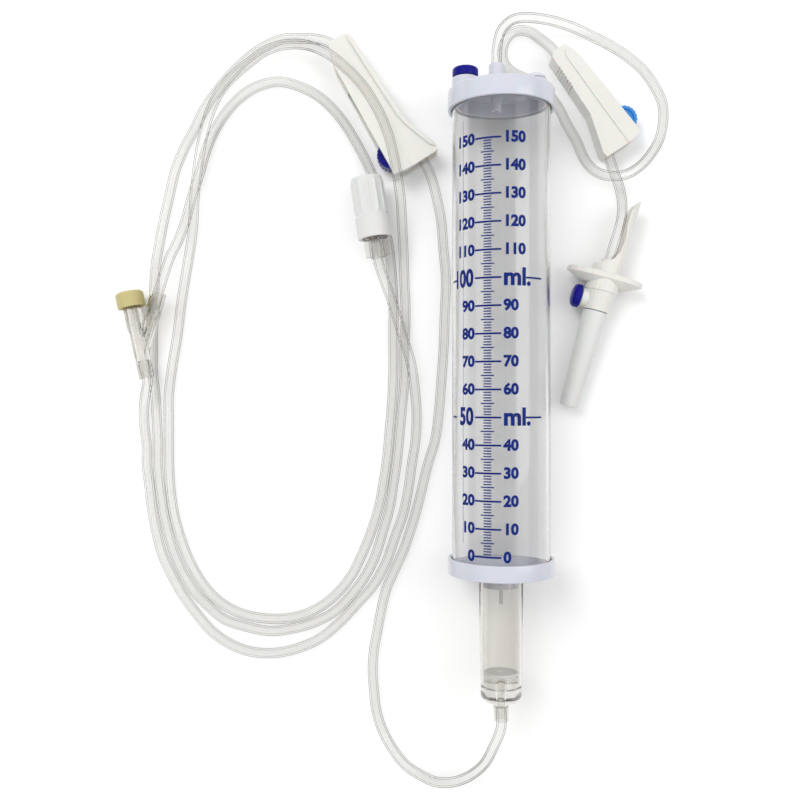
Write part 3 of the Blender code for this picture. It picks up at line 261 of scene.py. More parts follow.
INLET_ROUTE_END = [(48, 89.5, 4), (50, 84.5, 3.5), (51, 78, 4.5), (50.5, 72, 6.5), (49, 66.5, 8.3)]
MAIN_ROUTE_START = [
    (-3, -139, 19), (-5.5, -145.5, 16), (-9, -151, 12), (-13.5, -155.5, 8), (-19, -158.5, 4.5),
    (-25, -159, 2.5), (-31, -156.5, 2), (-37.5, -152, 2), (-42.5, -145.5, 2), (-46.5, -138, 2),
    (-49, -130, 2), (-50, -121.5, 2), (-50.5, -113.5, 2), (-50, -105.5, 2), (-48.5, -97, 2),
    (-47, -89, 2), (-45, -80.5, 2), (-41.5, -72.5, 2), (-37.5, -63.5, 2), (-34, -53, 2),
    (-31.5, -44, 2), (-28, -29.5, 2), (-25, -19.5, 2), (-23.5, -9, 2), (-22.5, 3, 2),
    (-21.5, 17.5, 2), (-21, 32, 2), (-20.5, 46.5, 2), (-21.5, 58.5, 2), (-22.5, 70.5, 2.5),
    (-24.5, 80, 4), (-26.5, 87, 5.5),
]
LARGE_CLAMP_ROUTE = [(58, 1.9), (50, 2.9), (40, 3.4), (26, 3.4), (13, 3.6), (5, 4.8), (-2, 8.2)]
MAIN_ROUTE_END = [
    (-74, 144, 4.5), (-80, 145, 2.5), (-87, 145, 2), (-93.5, 142.5, 2), (-100.5, 138, 2),
    (-107.5, 131.5, 2), (-113.5, 124.5, 2), (-119.5, 116, 2), (-123.5, 108, 2),
    (-128, 99.5, 2), (-131.5, 90.5, 2), (-133.5, 82, 2), (-136, 71, 2), (-138, 60.5, 2),
    (-139.5, 50.5, 2), (-140, 40, 2), (-140.5, 28, 2), (-140.5, 17.5, 2), (-140.5, 7.5, 2),
    (-139.5, -1, 2), (-139, -9, 2), (-138.5, -19.5, 2), (-138.5, -29.5, 2),
    (-137.5, -40, 2), (-136, -50, 2), (-133.5, -60.5, 2), (-130.5, -69, 2), (-127, -76, 2),
    (-123, -82, 2), (-117.5, -87.5, 2), (-111.5, -92.5, 2), (-103, -95.5, 2), (-92.5, -97.5, 2),
    (-83.5, -96.5, 2), (-74.5, -94, 2), (-66, -89.5, 2), (-59, -82.5, 2), (-53.5, -75, 2),
    (-49.5, -67, 2), (-46.5, -57.5, 2), (-43.5, -47, 2), (-42, -37.5, 2), (-40.5, -27.5, 2),
    (-39.5, -17, 2), (-38.5, -6, 2), (-37.5, 5.5, 2), (-37.5, 17.5, 2), (-37, 32, 2),
    (-37.5, 46, 2), (-38, 60.5, 3.5), (-38.5, 69, 7.5), (-39, 76.5, 12.5),
    (-40, 83.5, 15.5), (-41.5, 92, 15.5), (-43.5, 100.5, 15.5), (-46.5, 108.5, 15.5),
    (-50.5, 116, 15.5), (-55.5, 123, 15.5), (-61, 128.5, 15.5), (-66.5, 133, 15.5),
    (-71.5, 136, 14.5), (-77, 139, 11), (-83, 140.5, 8), (-88, 140.5, 6.5), (-94.5, 138, 6.5),
    (-100.5, 133.5, 6.5), (-106, 129, 6.5), (-111.5, 123, 6.5), (-115.5, 115.5, 6.5),
    (-118, 108, 6.5), (-120, 98.5, 6.5), (-121.5, 88, 6.5), (-122.5, 78, 6.5),
    (-123.5, 69.5, 4), (-125, 60.5, 2), (-127, 48.5, 2), (-129, 36, 2), (-130.5, 23.5, 2),
    (-132.5, 11.5, 2), (-134, -1, 2), (-134, -13, 2), (-134, -25.5, 2), (-133.5, -37.5, 2),
    (-132, -49, 2), (-129, -60, 2), (-125.5, -69, 2), (-121, -77, 2), (-114.5, -84.5, 2),
    (-106.5, -89.5, 2), (-97.5, -92, 2), (-87.5, -92.5, 2), (-79, -91, 2), (-71, -87, 2),
    (-64.5, -81.5, 2), (-59, -74.5, 2), (-55, -66.5, 2), (-51.5, -58, 2), (-48, -47, 2),
    (-46, -36.5, 2), (-44.5, -26, 2), (-43.5, -15, 2), (-42.5, -3, 2), (-42, 9.5, 2),
    (-42, 23.5, 2), (-42, 38, 2), (-43, 52.5, 2), (-44.5, 63.5, 2), (-46.5, 74.5, 2),
    (-49, 85, 2), (-53, 94.5, 2), (-57.5, 103, 2), (-64, 113, 2), (-72, 121, 2),
    (-80.5, 125.5, 2), (-88.5, 127.5, 2), (-96.5, 126, 2), (-103.5, 122, 2),
    (-110, 115.5, 2), (-115.5, 107, 2), (-119, 98.5, 2), (-121.5, 89.5, 2),
    (-124.5, 80.5, 2), (-127, 71, 2), (-130, 62.5, 2.5), (-132.8, 55, 5),
]
PATIENT_ROUTE = [
    (-142.5, -0.5, 5.8), (-143.8, -6, 3.3), (-144, -13, 2), (-143, -21.5, 2), (-143, -29.5, 2),
    (-142, -37.5, 2), (-141, -46.5, 2), (-139, -57, 2), (-136.5, -66.5, 2), (-132, -76, 2),
    (-128, -83, 2), (-122.5, -90.5, 2), (-116.5, -97.5, 2), (-108.5, -103, 2),
    (-100, -106, 2), (-90.5, -106.5, 2), (-81, -104.5, 2), (-72, -100.5, 2), (-64, -94, 2),
    (-57, -86.5, 2), (-50, -78.5, 2), (-45, -69.5, 2), (-41.5, -59.5, 2), (-38, -49.5, 2),
    (-36, -40, 2), (-34.5, -29.5, 2), (-33, -19.5, 2), (-32.5, -9, 2), (-33, -1, 2.5),
    (-34, 7.5, 4.5), (-35.5, 14.5, 6.2), (-38, 22, 6.8), (-40.5, 30.5, 6.8), (-43, 38.5, 7.5),
    (-45.5, 45, 9),
]


class StageSettings(bpy.types.PropertyGroup):
    zenith: FloatProperty(name="Zenith", description="Light of the sky overhead", default=1.0)
    horizon: FloatProperty(name="Horizon", description="Light of the sky near the horizon", default=0.32)
    backdrop: FloatProperty(name="Backdrop", description="Sky as the camera sees it", default=1.0)
    key_power: FloatProperty(
        name="Key light", description="Power of the upper left panel", default=5.0, unit="POWER"
    )
    fill_power: FloatProperty(
        name="Fill light", description="Power of the right panel", default=2.0, unit="POWER"
    )
    floor_color: FloatVectorProperty(
        name="Floor", description="Colour of the floor", default=(0.9, 0.9, 0.9), subtype="COLOR"
    )


class TubeSettings(bpy.types.PropertyGroup):
    outer: FloatProperty(
        name="Outer diameter", description="Outside of the soft tube", default=0.004, unit="LENGTH"
    )
    bore: FloatProperty(name="Bore", description="Inside of the soft tube", default=0.0027, unit="LENGTH")
    sides: IntProperty(name="Sides", description="Facets round the soft tube", default=28, min=8)


class PrintSettings(bpy.types.PropertyGroup):
    digit_size: FloatProperty(
        name="Digits", description="Height of a scale number", default=0.0056, unit="LENGTH"
    )
    label_size: FloatProperty(
        name="Labels", description="Height of 50 and 100 ml", default=0.0090, unit="LENGTH"
    )
    major_width: FloatProperty(
        name="Major line", description="Thickness of a ten line", default=0.0007, unit="LENGTH"
    )
    minor_width: FloatProperty(
        name="Minor line", description="Thickness of a unit line", default=0.00045, unit="LENGTH"
    )


def feed(tree, slot, value):
    """Links a field into a socket, or sets the socket's own value."""
    if isinstance(value, Field):
        tree.links.new(value.socket, slot)
    else:
        slot.default_value = value


class Field:
    """A shader socket that takes part in arithmetic. Each operation adds one Math node."""

    def __init__(self, tree, socket):
        self.tree = tree
        self.socket = socket

    def _math(self, operation, first, second, clamp=False):
        node = self.tree.nodes.new("ShaderNodeMath")
        node.operation = operation
        node.use_clamp = clamp
        feed(self.tree, node.inputs[0], first)
        feed(self.tree, node.inputs[1], second)
        return Field(self.tree, node.outputs[0])

    def __add__(self, other):
        return self._math("ADD", self, other)

    __radd__ = __add__

    def __mul__(self, other):
        return self._math("MULTIPLY", self, other)

    __rmul__ = __mul__

    def __sub__(self, other):
        return self._math("SUBTRACT", self, other)

    def __rsub__(self, other):
        return self._math("SUBTRACT", other, self)

    def __truediv__(self, other):
        return self._math("DIVIDE", self, other)

    def __rtruediv__(self, other):
        return self._math("DIVIDE", other, self)

    def power(self, exponent):
        return self._math("POWER", self, exponent)

    def clamped(self):
        return self._math("ADD", self, 0.0, clamp=True)


class Graph:
    """The node tree of one material or world, with one method for every node that isn't arithmetic."""

    def __init__(self, owner):
        owner.use_nodes = True
        self.owner = owner
        self.tree = owner.node_tree
        self.tree.nodes.clear()

    def node(self, kind, output=0, settings=None, **inputs):
        """A node's output. Inputs go by name, with _ for a space, or by number, as in i0."""
        made = self.tree.nodes.new(kind)
        for key, value in (settings or {}).items():
            setattr(made, key, value)
        for key, value in inputs.items():
            label = key.replace("_", " ")
            feed(self.tree, made.inputs[label if label in made.inputs else int(key[1:])], value)
        return Field(self.tree, made.outputs[output])

    def blend(self, factor, first, second):
        """Colour from first to second by a factor. A Mix node takes them in 6 and 7, and gives output 2."""
        return self.node("ShaderNodeMix", 2, {"data_type": "RGBA"}, i0=factor, i6=first, i7=second)

    def layer(self, factor, below, above):
        """Shader from below to above by a factor."""
        return self.node("ShaderNodeMixShader", i0=factor, i1=below, i2=above)

    def noise(self, scale, detail=3.0):
        place = self.node("ShaderNodeTexCoord", "Object")
        return self.node("ShaderNodeTexNoise", Vector=place, Scale=scale, Detail=detail)

    def clouds(self, scale, contrast):
        """Noise spread about its middle by a contrast and kept between 0 and 1."""
        return (self.noise(scale) * contrast - (contrast - 1.0) / 2).clamped()

    def varied(self, scale, base, spread):
        """Noise between base and base + spread."""
        return self.noise(scale) * spread + base

    def bump(self, height, strength, depth):
        return self.node("ShaderNodeBump", Height=height, Strength=strength, Distance=depth)

    def finish(self, shader, end="ShaderNodeOutputMaterial"):
        feed(self.tree, self.tree.nodes.new(end).inputs["Surface"], shader)
        return self.owner


def rgba(color, share=1.0):
    return (*[c * share for c in color], 1.0)


def clear_plastic(name, tint, haze, edge, ripple, edge_shade_share):
    """See-through plastic: faint haze clouds, flow ripples, a light shadow and painted dark shade edge-on."""
    graph = Graph(bpy.data.materials.new(name))
    cloud = graph.noise(60.0).clamped()
    ripples = graph.bump(graph.noise(420.0, detail=2.0), strength=ripple, depth=0.0003)
    shared = dict(Roughness=graph.varied(240.0, base=0.02, spread=0.03), Normal=ripples, IOR=1.46)
    body = graph.node(
        "ShaderNodeBsdfPrincipled", Base_Color=graph.blend(cloud, rgba(tint), rgba(haze)),
        Transmission_Weight=1.0, **shared,
    )
    # Painted shade: a darker colour mixed in edge-on, in place of the dark surroundings that refraction shows
    # at the edges
    edge_shade = graph.node(
        "ShaderNodeBsdfPrincipled", Base_Color=graph.blend(cloud, rgba(edge), rgba(haze)),
        Transmission_Weight=0.8, **shared,
    )
    edge_on = graph.node("ShaderNodeLayerWeight", "Facing", Blend=0.35, Normal=ripples).power(3.0)
    solid = graph.layer(edge_on * edge_shade_share, body, edge_shade)
    shadow = graph.node("ShaderNodeLightPath", "Is Shadow Ray") * 0.96
    return graph.finish(graph.layer(shadow, solid, graph.node("ShaderNodeBsdfTransparent", Color=rgba(tint))))


def soft_vinyl(name, tint, edge, gloss, rim_shade_start, rim_shade_span):
    """Flexible clear tube: light passes straight on, painted shade darkens its rims and the sky shines in its
    face.

    A back face refracts with an index of 1, which looks the same as a transparent one, because a ray
    through several strands may only meet a few transparent faces.
    """
    graph = Graph(bpy.data.materials.new(name))
    near = graph.node("ShaderNodeBsdfTransparent", Color=rgba(tint))
    far = graph.node("ShaderNodeBsdfRefraction", Color=rgba(tint), IOR=1.0, Roughness=0.0)
    clear = graph.layer(graph.node("ShaderNodeNewGeometry", "Backfacing"), near, far)
    # Painted shade: a dark colour on the rims, in place of the dark surroundings that refraction shows along
    # a clear tube's edges
    rim = graph.node(
        "ShaderNodeBsdfPrincipled", Roughness=graph.varied(400.0, base=0.15, spread=0.1),
        Base_Color=graph.blend(graph.noise(120.0).clamped(), rgba(edge), rgba(edge, share=0.8)),
    )
    shine = graph.node("ShaderNodeBsdfAnisotropic", Color=WHITE, Roughness=0.12)
    face = graph.layer(gloss, clear, shine)
    edge_on = graph.node("ShaderNodeLayerWeight", "Facing", Blend=0.5)
    solid = graph.layer(((edge_on - rim_shade_start) / rim_shade_span).clamped() * 0.85, face, rim)
    shadow = graph.node("ShaderNodeLightPath", "Is Shadow Ray") * 0.9
    return graph.finish(graph.layer(shadow, solid, near))


def milky_plastic(name, color, shade, rough, see_through=0.0, coat=0.0, gloss=0.5):
    """Moulded plastic: slow colour clouds, a fine texture in its gloss and a faint grain."""
    graph = Graph(bpy.data.materials.new(name))
    body = graph.node(
        "ShaderNodeBsdfPrincipled",
        Base_Color=graph.blend(graph.clouds(35.0, contrast=1.4), rgba(color), rgba(shade)),
        Roughness=graph.varied(300.0, base=rough, spread=0.14),
        Normal=graph.bump(graph.noise(900.0, detail=4.0), strength=0.12, depth=0.0003),
        Transmission_Weight=see_through, IOR=1.49, Coat_Weight=coat, Subsurface_Weight=0.25,
        Subsurface_Scale=0.002, Specular_IOR_Level=gloss,
    )
    return graph.finish(body)


def rubber(name, color, shade):
    """Matt rubber with a fine grain."""
    graph = Graph(bpy.data.materials.new(name))
    body = graph.node(
        "ShaderNodeBsdfPrincipled",
        Base_Color=graph.blend(graph.clouds(90.0, contrast=1.6), rgba(color), rgba(shade)),
        Roughness=graph.varied(500.0, base=0.4, spread=0.2),
        Normal=graph.bump(graph.noise(2600.0, detail=4.0), strength=0.2, depth=0.0002),
        Subsurface_Weight=0.3, Subsurface_Scale=0.002,
    )
    return graph.finish(body)


def ink(name, color):
    """Printed ink with slightly uneven cover."""
    graph = Graph(bpy.data.materials.new(name))
    body = graph.node(
        "ShaderNodeBsdfPrincipled",
        Base_Color=graph.blend(graph.noise(1500.0).clamped(), rgba(color), rgba(color, share=0.6)),
        Roughness=graph.varied(900.0, base=0.4, spread=0.2), Specular_IOR_Level=0.15,
    )
    return graph.finish(body)


def filter_paper(name, color, shade):
    """Matt paper whose fibres show in its colour, gloss and relief."""
    graph = Graph(bpy.data.materials.new(name))
    fibre = graph.noise(5200.0, detail=6.0)
    body = graph.node(
        "ShaderNodeBsdfPrincipled", Base_Color=graph.blend(fibre.clamped(), rgba(color), rgba(shade)),
        Roughness=fibre * 0.2 + 0.7, Normal=graph.bump(fibre, strength=0.5, depth=0.0002),
    )
    return graph.finish(body)


def steel(name, color, shade):
    """Bare drawn steel with a faint grain."""
    graph = Graph(bpy.data.materials.new(name))
    grain = graph.noise(3000.0, detail=2.0)
    body = graph.node(
        "ShaderNodeBsdfPrincipled", Base_Color=graph.blend(grain.clamped(), rgba(color), rgba(shade)),
        Roughness=grain * 0.2 + 0.2, Metallic=1.0,
    )
    return graph.finish(body)


def plain_floor(name, color):
    """A plain pale floor that keeps the object's shadows."""
    graph = Graph(bpy.data.materials.new(name))
    return graph.finish(graph.node("ShaderNodeBsdfDiffuse", Color=rgba(color)))


FINISHES = {
    # edge: colour of the painted shade that clear plastic takes edge-on
    "burette": (clear_plastic, dict(
        tint=(0.915, 0.915, 0.915), haze=(0.875, 0.876, 0.88), edge=(0.30, 0.31, 0.34), ripple=0.01,
        edge_shade_share=0.5,
    )),
    "clear_mouldings": (clear_plastic, dict(
        tint=(0.90, 0.89, 0.865), haze=(0.84, 0.83, 0.80), edge=(0.30, 0.29, 0.25), ripple=0.05,
        edge_shade_share=0.9,
    )),
    # edge: colour of the painted shade on the tube rims
    "tubes": (soft_vinyl, dict(
        tint=(0.974, 0.973, 0.969), edge=(0.16, 0.155, 0.135), gloss=0.03, rim_shade_start=0.47, rim_shade_span=0.26,
    )),
    "caps": (milky_plastic, dict(color=(0.60, 0.62, 0.69), shade=(0.55, 0.57, 0.645), rough=0.14, coat=0.4)),
    "milky": (milky_plastic, dict(
        color=(0.79, 0.785, 0.745), shade=(0.73, 0.725, 0.68), rough=0.28, see_through=0.08,
    )),
    "frosted": (milky_plastic, dict(
        color=(0.76, 0.76, 0.75), shade=(0.70, 0.705, 0.69), rough=0.3, see_through=0.1,
    )),
    "navy": (milky_plastic, dict(
        color=(0.004, 0.004, 0.24), shade=(0.003, 0.003, 0.17), rough=0.2, gloss=0.2,
    )),
    "azure": (milky_plastic, dict(color=(0.03, 0.25, 0.66), shade=(0.02, 0.19, 0.55), rough=0.2)),
    "amber": (rubber, dict(color=(0.56, 0.50, 0.24), shade=(0.46, 0.40, 0.17))),
    "bung": (rubber, dict(color=(0.66, 0.67, 0.74), shade=(0.58, 0.59, 0.67))),
    "filters": (filter_paper, dict(color=(0.92, 0.92, 0.92), shade=(0.68, 0.68, 0.7))),
    "needle": (steel, dict(color=(0.62, 0.62, 0.64), shade=(0.42, 0.42, 0.44))),
    "print": (ink, dict(color=(0.002, 0.019, 0.19))),
}


def material(slot):
    """The scene's own material for a slot of the record, made once."""
    name = f"look_{slot}"
    make, values = FINISHES[slot]
    return bpy.data.materials.get(name) or make(name, **values)


def burette_frame():
    """Local Z runs along the burette from the spigot end, and local Y points down."""
    matrix = Matrix.Rotation(math.radians(-90.0), 4, "X")
    matrix.translation = Vector((0.0, SPIGOT_Y, CAP_R))
    return matrix


def axis_frame(place, direction):
    """Local Z runs along a direction, local X is level and local Y points up."""
    along = Vector(direction).normalized()
    side = Vector((-along.y, along.x, 0.0)).normalized()
    matrix = Matrix((side, along.cross(side), along)).transposed().to_4x4()
    matrix.translation = Vector(place)
    return matrix


def turned_axis_frame(place, turn):
    """An axis frame whose local Z is level and turned from the world's -Y."""
    angle = math.radians(turn)
    return axis_frame(place, (math.sin(angle), -math.cos(angle), 0.0))


def flat_frame(origin, turn, height, over):
    """Local X runs along a clamp from its narrow end, local Y towards its wheel."""
    matrix = Matrix.Rotation(math.radians(turn), 4, "Z")
    if over:
        matrix = matrix @ Matrix.Rotation(math.pi, 4, "X")
    matrix.translation = Vector((*origin, height))
    return matrix


BURETTE = burette_frame()
SMALL_CLAMP = flat_frame(SMALL_CLAMP_PLACE, SMALL_CLAMP_TURN, 0.0, False)
LARGE_CLAMP = flat_frame(LARGE_CLAMP_PLACE, LARGE_CLAMP_TURN, LARGE_CLAMP_THICK, True)
SPIKE = axis_frame(SPIKE_PLACE, [tip - start for tip, start in zip(SPIKE_TIP_PLACE, SPIKE_PLACE)])
SHEATH_SEAT = SPIKE @ Matrix.Translation((0, 0, FLANGE_THICK / 2 + HUB_LENGTH + FIT))
SIDE_CAP_SEAT = (
    SPIKE @ Matrix.Translation((-SIDE_VENT_OUT - FIT, 0, SIDE_VENT_Z))
    @ Matrix.Rotation(math.radians(-90.0), 4, "Y")
)
Y_SITE = turned_axis_frame(Y_PLACE, Y_TURN)
Y_ARM = (
    Y_SITE @ Matrix.Translation((0, 0, Y_JOIN)) @ Matrix.Rotation(math.radians(180.0 - Y_ARM_TURN), 4, "Y")
)
Y_ARM_END = Y_ARM @ Matrix.Translation((0, 0, Y_ARM_LENGTH))
LUER = turned_axis_frame(LUER_PLACE, LUER_TURN)


def put(name, data):
    """A new object in the scene."""
    obj = bpy.data.objects.new(name, data)
    bpy.context.scene.collection.objects.link(obj)
    return obj


def piece(name, points, faces, slot, body=ROOT, replaced=()):
    """One visual piece from world points in millimetres, riding a body and wearing a slot's material."""
    mesh = bpy.data.meshes.new(name)
    mesh.from_pydata((np.asarray(points) * MM).tolist(), [], faces)
    shape = bmesh.new()
    shape.from_mesh(mesh)
    bmesh.ops.remove_doubles(shape, verts=shape.verts, dist=MERGE)
    bmesh.ops.recalc_face_normals(shape, faces=shape.faces)
    shape.to_mesh(mesh)
    shape.free()
    mesh.shade_smooth()
    mesh.set_sharp_from_angle(angle=PIECE_SHARP)
    mesh.materials.append(material(slot))
    obj = put(name, mesh)
    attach(obj, body)
    if replaced:
        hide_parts(*replaced)
    return obj


def placed(matrix, points):
    """Points of a frame as world points."""
    matrix = np.array(matrix)
    return np.asarray(points, float) @ matrix[:3, :3].T + matrix[:3, 3]


def grid_faces(rows, columns, close_rows, close_columns):
    """Quads over a grid of points that is stored row by row, closed on itself one way, both or neither."""
    row, column = np.mgrid[:rows if close_rows else rows - 1, :columns if close_columns else columns - 1]
    here = row * columns
    above = (row + 1) % rows * columns
    beside = (column + 1) % columns
    quads = np.stack([here + column, here + beside, above + beside, above + column], axis=-1)
    return quads.reshape(-1, 4).tolist()


def rounded(profile, radius, steps=CORNER_STEPS):
    """The closed (radius, height) loop with a quadratic curve in place of each corner off the axis."""
    loop = []
    count = len(profile)
    for i in range(count):
        before, here, after = (np.array(profile[(i + k) % count], float) for k in (-1, 0, 1))
        if here[0] <= ON_AXIS:
            loop.append(tuple(here))
            continue
        back = np.linalg.norm(before - here)
        ahead = np.linalg.norm(after - here)
        reach = min(radius, CORNER_SHARE * back, CORNER_SHARE * ahead)
        start = here + (before - here) * reach / back
        end = here + (after - here) * reach / ahead
        for t in np.linspace(0, 1, steps + 1):
            loop.append(tuple((1 - t) ** 2 * start + 2 * t * (1 - t) * here + t * t * end))
    return loop


def turned(
    name, profile, matrix, slot, body=ROOT, replaced=(), sides=ROUND, corner=CORNER, x=0.0, base=0.0
):
    """Surface (x + r cos a, r sin a, base + z) over a closed rounded profile (r, z) and the angle a."""
    loop = np.array(rounded(profile, corner))
    angles = np.linspace(0, 2 * np.pi, sides, endpoint=False)
    across = loop[:, :1] * np.cos(angles) + x
    up = loop[:, :1] * np.sin(angles)
    along = np.repeat(loop[:, 1:] + base, sides, axis=1)
    points = placed(matrix, np.stack([across, up, along], axis=2).reshape(-1, 3))
    return piece(name, points, grid_faces(len(loop), sides, True, True), slot, body, replaced)


def smooth_route(points):
    """A centripetal spline through the route's points, read about every TUBE_STEP millimetres."""
    knots = [Vector(p) for p in points]
    knots = [2 * knots[0] - knots[1], *knots, 2 * knots[-1] - knots[-2]]
    found = []
    for a, b, c, d in zip(knots, knots[1:], knots[2:], knots[3:]):
        t1 = math.sqrt((b - a).length)
        t2 = t1 + math.sqrt((c - b).length)
        t3 = t2 + math.sqrt((d - c).length)
        steps = max(2, round((c - b).length / TUBE_STEP))
        for k in range(steps):
            t = t1 + (t2 - t1) * k / steps
            ab = a.lerp(b, t / t1)
            bc = b.lerp(c, (t - t1) / (t2 - t1))
            cd = c.lerp(d, (t - t2) / (t3 - t2))
            found.append(ab.lerp(bc, t / t2).lerp(bc.lerp(cd, (t - t1) / (t3 - t1)), (t - t1) / (t2 - t1)))
    path = np.array([*found, knots[-2]])
    path[:, 2] = np.maximum(path[:, 2], TUBE_FLOOR_Z)
    return path


def sections(path):
    """Two unit vectors across the path at each point, carried along it without twist."""
    tangent = np.gradient(path, axis=0)
    tangent /= np.linalg.norm(tangent, axis=1, keepdims=True)
    across = np.zeros_like(path)
    first = np.cross(tangent[0], ACROSS_SEED)
    across[0] = first / np.linalg.norm(first)
    for i in range(1, len(path)):
        flat = across[i - 1] - tangent[i] * across[i - 1].dot(tangent[i])
        across[i] = flat / np.linalg.norm(flat)
    return across, np.cross(tangent, across)


def soft_tube(name, route, settings, replaced):
    """Hollow tube: p(t) + r (cos a u(t) + sin a v(t)) for its outer and inner radius, closed at both ends."""
    path = smooth_route(route)
    u, v = sections(path)
    angles = np.linspace(0, 2 * np.pi, settings.sides, endpoint=False)
    circle = np.cos(angles)[None, :, None] * u[:, None] + np.sin(angles)[None, :, None] * v[:, None]
    outside, inside = (path[:, None] + width / 2 / MM * circle for width in (settings.outer, settings.bore))
    grid = np.concatenate([outside, inside[::-1]])
    faces = grid_faces(len(grid), settings.sides, True, True)
    return piece(name, grid.reshape(-1, 3), faces, "tubes", replaced=(replaced,)), path


def on_axis(matrix, *heights, x=0.0):
    """Route points on or beside a frame's Z axis."""
    return [tuple(matrix @ Vector((x, 0, height))) for height in heights]


def through_clamp(matrix, route, thick):
    """Route points half way up a clamp."""
    return [tuple(matrix @ Vector((u, v, thick / 2))) for u, v in route]


def make_tubes(settings):
    """The three soft tubes, each with its path, its far end and the names of what rides on it."""
    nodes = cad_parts
    sunk = SOCKET_DEPTH - FIT
    mouth = TOP_FACE_U + COLLAR_HEIGHT
    inlet = on_axis(BURETTE, mouth - sunk, mouth + COLLAR_STRAIGHT, x=COLLAR_X) + INLET_ROUTE_START
    inlet += through_clamp(SMALL_CLAMP, SMALL_CLAMP_ROUTE, SMALL_CLAMP_THICK) + INLET_ROUTE_END
    inlet += on_axis(SPIKE, -SOCKET_DEPTH - SPIKE_STRAIGHT, -SOCKET_DEPTH, -FIT)
    main = on_axis(BURETTE, SPIGOT_DEPTH, -SPIGOT_STRAIGHT) + MAIN_ROUTE_START
    main += through_clamp(LARGE_CLAMP, LARGE_CLAMP_ROUTE, LARGE_CLAMP_THICK) + MAIN_ROUTE_END
    main += on_axis(Y_ARM_END, Y_ARM_STRAIGHT, 0, -sunk)
    patient = on_axis(Y_SITE, Y_LENGTH - sunk, Y_LENGTH + Y_LEG_STRAIGHT) + PATIENT_ROUTE
    patient += on_axis(LUER, LUER_HUB_END + LUER_STRAIGHT, LUER_HUB_END - sunk)
    groups = {
        "inlet_tube": (inlet, "fitting", [n for n in nodes if n.startswith(("inlet_clamp", "spike"))]),
        "main_tube": (
            main, "connector",
            ["main_clamp_bead", *[n for n in nodes if n.startswith(("main_clamp", "y_site"))]],
        ),
        "patient_tube": (patient, "connector", [n for n in nodes if n.startswith("luer")]),
    }
    return [
        (*soft_tube(f"soft_{node}", route, settings, node), end, carried)
        for node, (route, end, carried) in groups.items()
    ]


def on_burette(arc, u):
    """Points (r sin(s/R), -r cos(s/R), u) just outside the burette, at an arc length s and a height u."""
    radius = BURETTE_R + PRINT_LIFT
    angle = np.asarray(arc) / BURETTE_R
    height = np.broadcast_to(u, angle.shape)
    return np.stack([radius * np.sin(angle), -radius * np.cos(angle), height], axis=-1)


def print_line(start, end, u, width):
    """A thin strip round the burette, as rows of points and their faces."""
    arcs = np.linspace(start, end, LINE_STEPS)
    points = np.concatenate([on_burette(arcs, u - width / 2), on_burette(arcs, u + width / 2)])
    return points, grid_faces(2, LINE_STEPS, False, False)


def print_text(words, size, arc, u, align, stretch=1.0, weight=NUMBER_WEIGHT):
    """Bold lettering wrapped onto the burette, with its middle height at u."""
    curve = bpy.data.curves.new("lettering", "FONT")
    curve.body = words
    curve.size = size / MM
    curve.align_x = align
    curve.align_y = "CENTER"
    curve.offset = weight * curve.size
    curve.resolution_u = LETTER_STEPS
    obj = put("lettering", curve)
    shape = obj.evaluated_get(bpy.context.evaluated_depsgraph_get()).to_mesh()
    flat = np.zeros(3 * len(shape.vertices), np.float32)
    shape.vertices.foreach_get("co", flat)
    flat = flat.astype(float).reshape(-1, 3)
    faces = [tuple(polygon.vertices) for polygon in shape.polygons]
    bpy.data.objects.remove(obj)
    bpy.data.curves.remove(curve)
    return on_burette(arc + flat[:, 0] * stretch, u + flat[:, 1]), faces


def make_scale(settings):
    """The printed scale: unit, five and ten lines, numbers on both sides and the two large labels."""
    parts = []
    minor = settings.minor_width / MM
    major = settings.major_width / MM
    digits = settings.digit_size
    label = settings.label_size
    for ml in range(ML_FULL + 1):
        u = ZERO_U + ml * ML_PITCH
        if ml % 10 == 0:
            parts.append(print_line(*MAJOR_ARC, u, major))
        elif ml % 5 == 0:
            parts.append(print_line(*FIVE_ARC, u, minor))
        else:
            parts.append(print_line(*ONE_ARC, u, minor))
    for ml in range(0, ML_FULL + 1, 10):
        u = ZERO_U + ml * ML_PITCH
        if ml in ML_LABELLED:
            parts += [
                print_text(str(ml), label, LABEL_LEFT, u, "RIGHT", LABEL_LEFT_STRETCH, LABEL_LEFT_WEIGHT),
                print_text("ml.", label, LABEL_RIGHT, u, "LEFT", weight=LABEL_RIGHT_WEIGHT),
                print_line(*LABEL_LINE, u, major),
                print_line(*LABEL_LINE_LEFT, u, major),
            ]
        else:
            parts.append(print_text(str(ml), digits, LEFT_NUMBERS, u, "RIGHT", LEFT_STRETCH))
            parts.append(print_text(str(ml), digits, RIGHT_NUMBERS, u, "LEFT"))
    parts.append(print_line(*SEAM_ARC, sum(SEAM_U) / 2, SEAM_U[1] - SEAM_U[0]))
    faces = []
    start = 0
    for points, quads in parts:
        faces += [[start + i for i in quad] for quad in quads]
        start += len(points)
    points = np.concatenate([points for points, _ in parts])
    return piece("printed_scale", placed(BURETTE, points), faces, "print")


def ring(inner, outer, bottom, top):
    """Outline of a tube or of a disc with a hole."""
    return [(inner, bottom), (outer, bottom), (outer, top), (inner, top)]


def cup(inner, outer, bottom, floor, top):
    """Outline of a pot that is solid from bottom to floor and hollow above."""
    return [(0, bottom), (outer, bottom), (outer, top), (inner, top), (inner, floor), (0, floor)]


def burette_cap(rim, skirt, sign):
    """Outline of a burette cap that opens along sign: plate, outer rim and inner skirt."""
    loop = [
        (0, 0), (CAP_R, 0), (CAP_R, rim), (CAP_RIM_IN, rim), (CAP_RIM_IN, CAP_PLATE), (SKIRT_R, CAP_PLATE),
        (SKIRT_R, CAP_PLATE + skirt), (SKIRT_IN, CAP_PLATE + skirt), (SKIRT_IN, CAP_PLATE), (0, CAP_PLATE),
    ]
    return [(r, sign * z) for r, z in loop]


